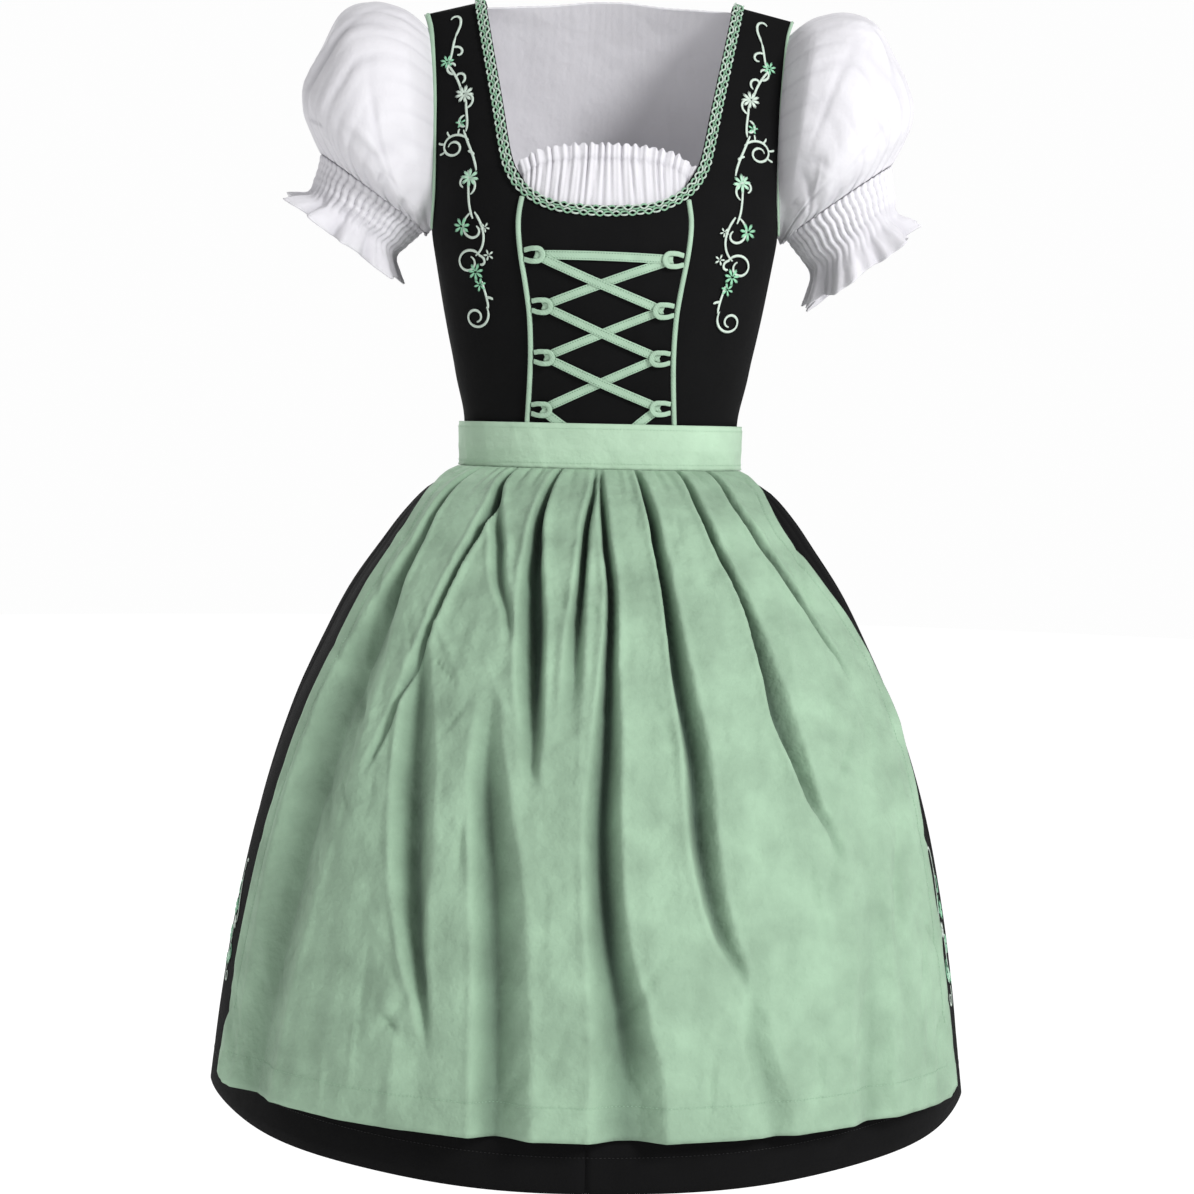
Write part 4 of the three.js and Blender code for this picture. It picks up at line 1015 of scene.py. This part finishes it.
left, right = innerEnds["left"], innerEnds["right"]
low, high = lacing["low"], lacing["high"]
stretches = [
    ("lacing_tape_top", right[0], left[0], low, high),
    ("lacing_tape_1", right[0], left[1], high, high),
    ("lacing_tape_2", left[0], right[1], low, low),
    ("lacing_tape_3", right[1], left[2], high, high),
    ("lacing_tape_4", left[1], right[2], low, low),
    ("lacing_tape_5", right[2], left[3], high, high),
    ("lacing_tape_6", left[2], right[3], low, low),
    ("lacing_end_right", right[3], (-22, 395), high, low),
    ("lacing_end_left", left[3], (22, 395), low, low),
]
tapeRuns = []
for number, (tapeName, start, end, startLift, endLift) in enumerate(stretches):
    t = np.linspace(0, 1, 60)
    x = mix(start[0], end[0], t)
    drop = mix(float(start[1]), float(end[1]), t)
    sag = 0.9 * np.sin(math.pi * t) * (1 if number % 2 else -0.6)
    lift = mix(startLift, endLift, t) - lacing["thickness"] / 2 + 0.35 * np.sin(2 * math.pi * t + number)
    path = onBody(drop + sag, x, lift)
    outward = onBody(drop + sag, x, lift + 1) - path
    narrow = 1 - 0.16 * np.exp(-(t / 0.06) ** 2) - 0.16 * np.exp(-((1 - t) / 0.06) ** 2)
    profile = roundedProfile(lacing["tape"] / 2, lacing["thickness"] / 2, 5, 18)[None] * np.ones((60, 1, 1))
    profile[..., 0] *= narrow[:, None]
    sweep(f"{tapeName}_band", path, outward, profile, mintTape, [tapeName])
    across = np.cross(np.gradient(path, axis=0), outward)
    across /= np.linalg.norm(across, axis=-1, keepdims=True)
    for shift in (-2.6, 2.6):
        line = path + across * shift + outward * 0.42
        tapeRuns.append(spaced(line[3:-3], outward[3:-3], 2.4))
stitches("lacing_tape_dots", tapeRuns, 1.5, 0.95, 0.5, dotThread)

print("stage: band and bow")
band = {"top": bandTop, "height": bandFoot - bandTop, "lift": 4.6, "stitch": 2.6}


def bandSurface():
    degrees = np.linspace(-100, 100, 200)[None]
    share = np.linspace(0, 1, 18)[:, None]
    drop = band["top"] + band["height"] * share
    edge = (2 * share - 1) ** 8
    seam = np.exp(-((np.minimum(drop - band["top"], bandFoot - drop) - band["stitch"]) / 0.9) ** 2)
    wave = 0.25 * np.sin(degrees * 0.19 + share) + 0.12 * np.sin(degrees * 0.71 - 3 * share)
    lift = band["lift"] + wave - 0.9 * edge - 0.5 * seam
    return onWaist(drop * np.ones_like(degrees), np.radians(degrees) * np.ones_like(drop), lift)


bandPoints = bandSurface()
apronBand = clothGrid(
    "apron_waistband_cloth", bandPoints, litMintCotton, ["apron_waistband"],
    clothThickness["apron"])
bandNormals = gridNormals(bandPoints)
bandRuns = [spaced(bandPoints[k] + 0.3 * bandNormals[k], bandNormals[k], 3.0) for k in (2, -3)]


def tieSurface():
    across = np.linspace(0, 1, 70)[None]
    share = np.linspace(0, 1, 18)[:, None]
    half = mix(20, 9, np.clip((across - 0.45) / 0.55, 0, 1))
    drop = waistDrop + half * (2 * share - 1)
    crush = 1.1 * np.sin(share * 15 + 3 * across) * smooth(0.4, 0.95, across)
    degrees = mix(100.05, 176, across)
    return onWaist(drop, np.radians(degrees) * np.ones_like(drop), 4.4 + crush + 0.3 * np.sin(degrees * 0.3))


def bowLoop():
    turn = 2 * math.pi * np.arange(96)[None] / 96
    share = np.linspace(0, 1, 24)[:, None]
    x = 66 + 46.5 * np.sin(turn)
    near = np.exp(-((x - 19) / 22) ** 2)
    half = mix(11, 21, (x - 18) / 100)
    crush = near * 1.6 * np.sin(share * 16 + 1)
    soft = 1.5 * np.sin(0.09 * x + 5 * share) * (1 - near)
    drop = waistDrop - 4 + 0.3 * x + half * (2 * share - 1) + 0 * turn
    form = skirtForm(np.maximum(drop, waistDrop), math.pi / 2)[..., 0]
    halfWidth = np.where(drop < waistDrop, bodyForm(np.minimum(drop, waistDrop), math.pi / 2)[..., 0], form)
    angle = math.pi - np.arcsin((x / halfWidth) ** 1.1)
    bodyBack = bodyForm(np.minimum(drop, waistDrop), angle)[..., 1]
    skirtBack = skirtForm(np.maximum(drop, waistDrop), angle)[..., 1]
    y = np.where(drop < waistDrop, bodyBack, skirtBack) + 15.5 - (8 + crush + soft) * np.cos(turn)
    return np.stack([x + 0 * share, y, -drop], -1)


def tieEnd():
    share = (np.linspace(0, 1, 90) ** 1.2)[:, None]
    across = np.linspace(0, 1, 16)[None]
    drop = mix(waistDrop + 20, waistDrop + 350 + 22 * (1 - across), share ** 1.5)
    half = mix(8, 19, smooth(0, 0.4, share))
    x = 10 + 45 * share ** 0.8 + half * (1 - 2 * across)
    halfWidth = skirtForm(drop, math.pi / 2)[..., 0]
    angle = math.pi - np.arcsin(np.clip(x / halfWidth, 0, 1) ** 1.1)
    fold = 2.2 * np.sin(across * 7 + 2 * share) * (1 - 0.6 * share) + 1.2 * np.sin(11 * share)
    hug = 0.7 * np.maximum(skirtLift(drop, np.degrees(angle)), -14)
    return offForm(skirtForm, drop, angle, 6 + fold + hug * smooth(0.1, 0.4, share))


def knotSurface():
    turn = 2 * math.pi * np.arange(60)[None] / 60
    fall = np.linspace(0.02, math.pi - 0.02, 30)[:, None]
    pucker = 1 + 0.07 * np.sin(9 * turn + 2 * np.cos(fall)) * np.sin(fall) + 0.05 * np.cos(4 * fall)
    x = 17 * np.sin(fall) * np.cos(turn) * pucker
    y = 9 * np.sin(fall) * np.sin(turn) * pucker
    backY = onWaist(np.array([float(waistDrop)]), np.array([math.pi]), np.array([band["lift"]]))[0, 1]
    return np.stack([x, y + backY + 9.8, -waistDrop + 15.5 * np.cos(fall) * pucker], -1)


for sideName, turned in (("left", False), ("right", True)):
    for part, maker, closed in (("apron_tie", tieSurface, False), ("apron_bow_loop", bowLoop, True),
                                ("apron_tie_end", tieEnd, False)):
        points = maker()
        points = otherSide(points) if turned else points
        clothGrid(
            f"{part}_{sideName}_cloth", points, litMintCotton, [f"{part}_{sideName}"],
            clothThickness["tie"], closed)
        if part != "apron_bow_loop":
            normals = gridNormals(points)
            rows = (1, -2) if part == "apron_tie" else ()
            bandRuns += [spaced(points[k] + 0.3 * normals[k], normals[k], 3.0) for k in rows]
            lines = (1, -2) if part == "apron_tie_end" else ()
            bandRuns += [spaced(points[:, k] + 0.3 * normals[:, k], normals[:, k], 3.0) for k in lines]
stitches("apron_band_stitches", bandRuns, 2.2, 0.45, 0.45, mintThread)
knot = clothGrid(
    "apron_bow_knot_cloth", knotSurface(), mintCotton, ["apron_bow_knot"],
    clothThickness["tie"], True)

print("stage: blouse")
blouse = {
    "inset": 4.6, "scallop": 7.8,
    "front": {
        "across": [0, 0.2, 0.36, 0.5, 0.6, 0.7, 0.8, 1], "x": [0, 31.5, 60, 87, 97.5, 106, 118.5, 168],
        "drop": [145, 145.5, 149.5, 158, 108, 60, 4, 0],
    },
    "back": {"across": [0, 0.35, 0.6, 0.75, 1], "x": [0, 49, 90, 118, 168], "drop": [12, 10, 5, 1, 0]},
}


# Puffs with a sharp valley between each and the next.
def puffs(turn, sharp=0.6):
    return 2 * np.abs(np.sin(turn / 2)) ** sharp - 1


def blouseSurface(side):
    back = side == "back"
    edge = blouse[side]
    share = np.linspace(-1, 1, 150 if back else 280)[None]
    across = np.abs(share)
    fall = (np.linspace(0, 1, 40 if back else 52)[:, None]) ** 1.7
    top = np.maximum(topDrop, readTable(edge, "across", "drop", across))
    edgeX = readTable(edge, "across", "x", across)
    scallop = puffs(2 * math.pi * np.sign(share) * edgeX / blouse["scallop"] + 1)
    frill = (1 - smooth(0.44, 0.52, across)) if not back else (1 - smooth(0.55, 0.7, across)) * 0.1
    bottom = waistDrop - 6
    drop = mix(top - 1.3 * frill * (scallop + 1), bottom, fall)
    edgeDrop = mix(topDrop, bottom, fall)

    def sideAngle(at):
        hole = readTable(armholeEdge, "drop", side, at) - 1.5
        x = np.where(at < armpitDrop, hole, 1000)
        return np.minimum(bodyAngle(at, x), math.pi / 2 - 0.004)

    topShare = bodyAngle(top, edgeX) / sideAngle(topDrop)
    spread = np.minimum(1, mix(topShare, across, np.clip(1.6 * fall, 0, 1)))
    angle = np.sign(share) * spread * sideAngle(edgeDrop)
    turned = math.pi - angle if back else angle
    ease = 4 * np.clip((drop - armpitDrop) / 60, 0, 1)
    below = drop - top
    signedX = np.sign(share) * edgeX
    uneven = 1.3 * np.sin(0.11 * signedX + 0.03 * below) + 0.8 * np.sin(0.29 * signedX - 0.02 * below)
    gathers = puffs(2 * math.pi * signedX / blouse["scallop"] + 1 + uneven, 0.8)
    gathers = gathers + 0.5 * np.sin(signedX * 1.3 + 0.02 * below)
    gathers = gathers * frill * np.exp(-below / 70) * 1.6
    drawn = 1.4 * frill * np.exp(-((below - 9) / 1.8) ** 2)
    soft = 0.7 * np.sin(np.degrees(angle) * 0.08 + 0.01 * drop) * smooth(0, 60, below)
    rolled = 1.0 * frill * np.exp(-below / 5)
    lift = gathers + soft - drawn + rolled - blouse["inset"] - ease - 0.4
    point = offForm(bodyForm, np.maximum(drop, topDrop), turned, lift)
    gap = 0.6
    point[..., 1] = np.maximum(point[..., 1], gap) if back else np.minimum(point[..., 1], -gap)
    # Painted shade in the valleys of the gathers and along the drawn line under the frill.
    valley = np.clip(-gathers / 1.6, 0, 1) * 0.36 * frill
    points = point[:, ::-1] if back else point
    return points, np.clip(valley + 0.25 * drawn / 1.4, 0, 1) * np.ones_like(drop)


frontPoints, frontShade = blouseSurface("front")
backPoints, _ = blouseSurface("back")
clothGrid(
    "blouse_front_cloth", frontPoints, whiteCotton, ["blouse_front"],
    clothThickness["blouse"], paintedShade=frontShade)
clothGrid(
    "blouse_back_cloth", backPoints, whiteCotton, ["blouse_back"],
    clothThickness["blouse"])

print("stage: sleeves")
sleeveRings = {
    "order": [0, 1, 2, 3, 4, 5, 6, 7, 8],
    "topX": [169, 187, 217, 244.5, 262.5, 278.5, 280, 273, 262],
    "topZ": [-20.5, -10.5, -4.5, -14.5, -46, -79, -102, -122, -143],
    "underX": [159.5, 161, 162.5, 164, 165.3, 166.3, 167, 167.5, 168],
    "underZ": [-208.5, -211, -213, -214, -214, -213.4, -212.4, -211.2, -209.2],
    "depth": [64, 73, 80, 84, 85, 79, 71, 62, 55],
}
cuffRings = {
    "order": [0, 1, 2, 3, 4, 5],
    "topX": [262.3, 264.7, 268.7, 273.8, 285.7, 299.5],
    "topZ": [-143.6, -155, -166.5, -176.2, -178.2, -181],
    "underX": [168.3, 175.2, 185.2, 192.2, 189.3, 184.5],
    "underZ": [-209.7, -216.5, -225.2, -234, -247, -261.5],
    "depth": [54.7, 51.3, 49.3, 49.3, 57, 65],
}
sleeve = {"around": 200, "down": 64, "capFolds": 27, "cuffFolds": 24}
cuff = {"around": 300, "down": 50, "rows": 4, "gathers": 46, "waves": 9, "hang": (19, 2)}


def ringSurface(rings, order, turn, out):
    def at(column):
        return readTable(rings, "order", column, order)
    top = np.stack([at("topX"), 0 * order, at("topZ")], -1)
    under = np.stack([at("underX"), 0 * order, at("underZ")], -1)
    length = np.linalg.norm(top - under, axis=-1, keepdims=True)
    up = (top - under) / length
    height = (length[..., 0] / 2 + out)[..., None]
    depth = at("depth") + out
    point = (top + under) / 2 + up * height * np.cos(turn)[..., None]
    point[..., 1] += depth * np.sin(turn)
    return point


# The armhole's edge, gone round by the same turn as a sleeve's rings.
def armholeRing(turn):
    drop = np.clip(mix(20.5, 208.5, (1 - np.cos(turn)) / 2), topDrop + 0.5, armpitDrop - 0.5)
    front = onBody(drop, readTable(armholeEdge, "drop", "front", drop) - 1.5, -2.2)
    back = onBody(drop, readTable(armholeEdge, "drop", "back", drop) - 1.5, -2.2, True)
    return np.where((np.sin(turn) < 0)[..., None], front, back)


def sleeveSurface(seed):
    share = np.linspace(0, 1, sleeve["down"])[:, None]
    turn = (2 * math.pi * np.arange(sleeve["around"]) / sleeve["around"])[None]
    cap = np.exp(-(share / 0.2) ** 1.3) * smooth(-0.9, 0.2, np.cos(turn))
    low = np.exp(-((1 - share) / 0.3) ** 1.2)
    capFold = puffs(sleeve["capFolds"] * turn + 1.6 * np.sin(3 * turn + seed), 0.8)
    cuffFold = puffs(sleeve["cuffFolds"] * turn + 2.1 * np.sin(2 * turn + seed) + 1.2 * np.sin(5 * turn), 0.8)
    middle = np.sin(math.pi * share) ** 0.8
    drape = np.sin(9 * turn + 2.4 * np.sin(turn + seed) + 3.2 * share)
    slack = np.sin(5 * turn - 4 * share + seed) + 0.3 * np.sin(14 * turn + 5 * share + 2 * seed)
    crisp = creaseField(turn * 75, 150 * share, 90, int(10 * seed), (14, 60), (10, 40), 3.2)
    out = 1.2 * cap * capFold + 2.6 * low * cuffFold + middle * (0.5 * drape + 1.5 * slack) - crisp * middle
    order = 8 * share
    points = ringSurface(sleeveRings, order * np.ones_like(turn), turn * np.ones_like(share), out - 0.6)
    joined = smooth(0, 1.1, order)[..., None]
    points = mix(armholeRing(turn), points, joined)
    # Painted shade in the cap gathers, the cuff gathers, the drape troughs and the creases.
    paintedShade = 0.3 * cap * np.clip(-capFold, 0, 1) + 0.35 * low * np.clip(-cuffFold, 0, 1)
    paintedShade = paintedShade + middle * (0.06 * np.clip(-drape, 0, 1) + 0.12 * np.clip(crisp, 0, 2))
    return points, np.clip(paintedShade, 0, 1)


def cuffSurface(seed):
    share = np.linspace(0, 1, cuff["down"])[:, None]
    turn = (2 * math.pi * np.arange(cuff["around"]) / cuff["around"])[None]
    order = (5 - 0.5 * np.abs(np.cos(turn)) ** 5 - 0.16 * np.sin(7 * turn + seed)) * share
    shirred = 1 - smooth(2.0, 2.6, order)
    rows = np.abs(np.sin(math.pi * cuff["rows"] * order / 2.2))
    gathers = puffs(cuff["gathers"] * turn + 1.5 * np.sin(4 * turn + seed) + 0.9 * np.sin(order * 4), 0.8)
    flare = np.clip((order - 2.2) / 2.8, 0, 1)
    wave = np.sin(cuff["waves"] * turn + 1.7 * np.sin(2 * turn + seed)) + 0.3 * np.sin(23 * turn + seed)
    out = shirred * (0.6 * rows + 1.5 * gathers) - 0.9
    out = out + flare ** 1.1 * 7 * wave + (1 - shirred) * np.exp(-flare / 0.35) * 1.5 * gathers
    points = ringSurface(cuffRings, order * np.ones_like(turn), turn * np.ones_like(share), out)
    hang = cuff["hang"][0 if seed < 1 else 1] * (order / 5) ** 1.3
    points[..., 2] -= hang
    points[..., 0] -= 0.4 * hang * np.clip(np.cos(turn), 0, 1)
    # Painted shade between the shirred rows and gathers, in the ruffle's wave troughs and just below the
    # shirring.
    paintedShade = shirred * (0.12 * (1 - rows) + 0.6 * np.clip(-gathers, 0, 1))
    paintedShade = paintedShade + 0.3 * flare * np.clip(-wave, 0, 1) + 0.3 * (1 - shirred) * np.exp(-flare / 0.3)
    return points, np.clip(paintedShade, 0, 1)


cuffRuns = []
for sideName, turned, seed in (("left", False, 0.4), ("right", True, 2.3)):
    for part, maker in (("sleeve", sleeveSurface), ("cuff", cuffSurface)):
        points, paintedShade = maker(seed)
        if turned:
            points = otherSide(points)
            paintedShade = paintedShade[:, ::-1]
        clothGrid(
            f"{part}_{sideName}_cloth", points, whiteCotton, [f"{part}_{sideName}"],
            clothThickness["sleeve"], True, paintedShade)
        if part == "cuff":
            normals = gridNormals(points)
            cuffRuns.append(spaced(points[-3] + 0.2 * normals[-3], normals[-3], 2.6))
stitches("cuff_edge_stitches", cuffRuns, 1.9, 0.4, 0.4, whiteThread)

print("stage: embroidery")
# A strap's scrolls, stars and sprigs in its own plane: distance out from the strap's middle, and
# drop. A tendril starts at a point with a heading (0 is down, 90 is outwards) and curls as it grows.
embroidery = {
    "middle": {"drop": [20, 70, 120, 170, 220, 270, 310], "x": [141, 136, 129, 124, 117, 112, 108]},
    "vine": [
        {"at": (-1, 34), "heading": 200, "length": 30, "curl": (2, -17), "tone": "pale"},
        {"at": (-1, 34), "heading": 20, "length": 26, "curl": (-1, 2), "tone": "pale"},
        {"at": (2, 44), "heading": -100, "length": 18, "curl": (5, 22), "tone": "pale"},
        {"at": (7, 61), "heading": -30, "length": 30, "curl": (0.5, 1.5), "tone": "pale"},
        {"at": (2, 71), "heading": 100, "length": 22, "curl": (6, 20), "tone": "pale"},
        {"at": (-4, 81), "heading": -120, "length": 19, "curl": (-8, -20), "tone": "pale"},
        {"at": (-6, 98), "heading": 10, "length": 30, "curl": (-1.2, 2.5), "tone": "pale"},
        {"at": (-5, 106), "heading": -110, "length": 24, "curl": (-4, -16), "tone": "pale"},
        {"at": (-3, 112), "heading": 75, "length": 17, "curl": (-6, -18), "tone": "pale"},
        {"at": (-5, 136), "heading": 145, "length": 70, "curl": (-3.6, -11.8), "tone": "pale"},
        {"at": (-1, 126), "heading": -12, "length": 40, "curl": (-0.6, 1.5), "tone": "pale"},
        {"at": (-4, 146), "heading": -70, "length": 7, "curl": (3, 10), "tone": "pale"},
        {"at": (-3, 164), "heading": 0, "length": 44, "curl": (0.6, -1.8), "tone": "pale"},
        {"at": (-3, 186), "heading": -120, "length": 36, "curl": (-5, -12.5), "tone": "pale"},
        {"at": (-2, 202), "heading": 60, "length": 44, "curl": (-2.5, -12.5), "tone": "pale"},
        {"at": (-5, 202), "heading": -30, "length": 42, "curl": (1, 3.5), "tone": "pale"},
        {"at": (-7, 241), "heading": 150, "length": 56, "curl": (-4.5, -10.5), "tone": "pale"},
        {"at": (-5, 240), "heading": -85, "length": 14, "curl": (8, 24), "tone": "pale"},
        {"at": (-6, 262), "heading": -10, "length": 24, "curl": (-0.5, 2), "tone": "pale"},
        {"at": (-8, 284), "heading": -25, "length": 62, "curl": (4, 12.5), "tone": "pale"},
        {"at": (-8, 276), "heading": -95, "length": 7, "curl": (4, 10), "tone": "pale"},
    ],
    # Thorns stand off the large scroll, each at a share of its length.
    "thorns": {"scroll": 9, "shares": [0.16, 0.28, 0.4, 0.5], "length": 6},
    "stars": [
        {"at": (8, 57), "radius": 6.5, "petals": 7, "tone": "green", "turn": 10},
        {"at": (-5, 92), "radius": 8.5, "petals": 9, "tone": "pale", "turn": 0},
        {"at": (1, 119), "radius": 5, "petals": 5, "tone": "green", "turn": 30},
        {"at": (-4, 171), "radius": 8.5, "petals": 8, "tone": "mint", "turn": 12},
        {"at": (8, 214), "radius": 8, "petals": 7, "tone": "green", "turn": 5},
        {"at": (-13, 216), "radius": 4.5, "petals": 5, "tone": "pale", "turn": 0},
        {"at": (-14, 240), "radius": 5, "petals": 5, "tone": "pale", "turn": 20},
        {"at": (-1, 254), "radius": 7.5, "petals": 7, "tone": "green", "turn": 0},
        {"at": (-4, 265), "radius": 6, "petals": 6, "tone": "green", "turn": 15},
    ],
    "satin": 0.52, "lift": 0.55,
}


def tendril(at, heading, length, curl):
    count = max(8, int(length * 2))
    step = length / count
    share = (np.arange(count) + 0.5) / count
    bend = np.radians(np.cumsum(mix(curl[0], curl[1], share ** 1.4)) * step)
    angle = math.radians(heading) + bend
    out = at[0] + np.concatenate([[0], np.cumsum(np.sin(angle)) * step])
    drop = at[1] + np.concatenate([[0], np.cumsum(np.cos(angle)) * step])
    return np.stack([out, drop], -1)


def strapPlace(side):
    def place(flat, lift):
        middle = readTable(embroidery["middle"], "drop", "x", flat[..., 1])
        return onBody(flat[..., 1], side * (middle + flat[..., 0]), lift)
    return place


def skirtPlace(degrees, top, scale):
    def place(flat, lift):
        drop = top + flat[..., 1] * scale
        turned = degrees + np.sign(degrees) * np.degrees(flat[..., 0] * scale / 350)
        return offForm(skirtForm, drop, np.radians(turned), skirtLift(drop, turned) + lift)
    return place


# Satin stitches lie across a stroke, close together, and shorten at its ends.
def satinRun(place, flat, wide, lift):
    path = place(flat, lift)
    outward = place(flat, lift + 1) - path
    points, along, out = spaced(path, outward, embroidery["satin"])
    across = np.cross(along, out)
    lean = across + 0.35 * along
    lean /= np.linalg.norm(lean, axis=-1, keepdims=True)
    share = np.linspace(0, 1, len(points))
    size = wide * (0.62 + 0.38 * np.minimum(1, np.minimum(share, 1 - share) / 0.12))
    return points, lean, out, size


def petalRun(place, star):
    flat = []
    aim = []
    for k in range(star["petals"]):
        angle = math.radians(star["turn"]) + 2 * math.pi * k / star["petals"]
        direction = np.array([math.sin(angle), math.cos(angle)])
        for fan in (-0.13, 0, 0.13):
            spread = math.cos(fan) * direction + math.sin(fan) * np.array([direction[1], -direction[0]])
            reach = star["radius"] * (0.5 if fan else 0.6)
            flat.append(np.array(star["at"]) + spread * reach)
            aim.append(spread)
    flat = np.array(flat)
    aim = np.array(aim)
    points = place(flat, embroidery["lift"] + 0.25)
    along = place(flat + 0.5 * aim, embroidery["lift"] + 0.25) - points
    along /= np.linalg.norm(along, axis=-1, keepdims=True)
    outward = place(flat, embroidery["lift"] + 1.25) - points
    return points, along, outward, np.full(len(points), star["radius"] / 8)


def embroider(name, place, vines, stars, thorns, wide):
    satin = {"pale": [], "mint": [], "green": []}
    petals = {"pale": [], "mint": [], "green": []}
    for vine in vines:
        flat = tendril(vine["at"], vine["heading"], vine["length"], vine["curl"])
        satin[vine["tone"]].append(satinRun(place, flat, wide, embroidery["lift"]))
    if thorns:
        scroll = vines[thorns["scroll"]]
        line = tendril(scroll["at"], scroll["heading"], scroll["length"], scroll["curl"])
        for share in thorns["shares"]:
            k = int(share * (len(line) - 2))
            step = line[k + 1] - line[k]
            heading = math.degrees(math.atan2(step[0], step[1])) + 75
            thorn = tendril(line[k], heading, thorns["length"], (4, 10))
            satin["pale"].append(satinRun(place, thorn, wide * 0.85, embroidery["lift"]))
    for star in stars:
        petals[star["tone"]].append(petalRun(place, star))
    threads = {"pale": paleThread, "mint": brightThread, "green": greenThread}
    for tone, runs in satin.items():
        if runs:
            stitches(f"{name}_vine_{tone}", runs, 2.7, 0.85, 0.75, threads[tone])
    for tone, runs in petals.items():
        if runs:
            stitches(f"{name}_flower_{tone}", runs, 8.8, 1.5, 1.0, threads[tone])


for sideName, side in (("left", 1), ("right", -1)):
    embroider(
        f"strap_embroidery_{sideName}", strapPlace(side), embroidery["vine"], embroidery["stars"],
        embroidery["thorns"], 1.18)

# Upright sprays low on the skirt's sides, of the same stitches.
spray = {
    "vine": [
        {"at": (0, 0), "heading": 180, "length": 26, "curl": (1, 12), "tone": "pale"},
        {"at": (0, 0), "heading": 5, "length": 60, "curl": (-1.5, 2), "tone": "pale"},
        {"at": (3, 12), "heading": 80, "length": 30, "curl": (-4, -15), "tone": "green"},
        {"at": (2, 30), "heading": -80, "length": 30, "curl": (4, 15), "tone": "green"},
        {"at": (3, 58), "heading": -15, "length": 60, "curl": (0.5, 2), "tone": "pale"},
        {"at": (1, 66), "heading": 85, "length": 36, "curl": (-4, -13), "tone": "pale"},
        {"at": (-2, 88), "heading": -85, "length": 34, "curl": (4, 14), "tone": "green"},
        {"at": (3, 114), "heading": 20, "length": 40, "curl": (-3, -16), "tone": "pale"},
    ],
    "stars": [
        {"at": (6, 44), "radius": 8.5, "petals": 7, "tone": "green", "turn": 0},
        {"at": (-7, 60), "radius": 7.5, "petals": 6, "tone": "pale", "turn": 15},
        {"at": (8, 76), "radius": 8.5, "petals": 8, "tone": "green", "turn": 10},
        {"at": (-3, 102), "radius": 8, "petals": 7, "tone": "mint", "turn": 0},
        {"at": (10, 108), "radius": 6, "petals": 5, "tone": "green", "turn": 0},
    ],
}
for sideName, degrees, top, scale in (("left", 75, 776, 0.98), ("right", -74, 795, 0.75)):
    place = skirtPlace(degrees, top, scale)
    embroider(f"skirt_spray_{sideName}", place, spray["vine"], spray["stars"], None, 1.0)
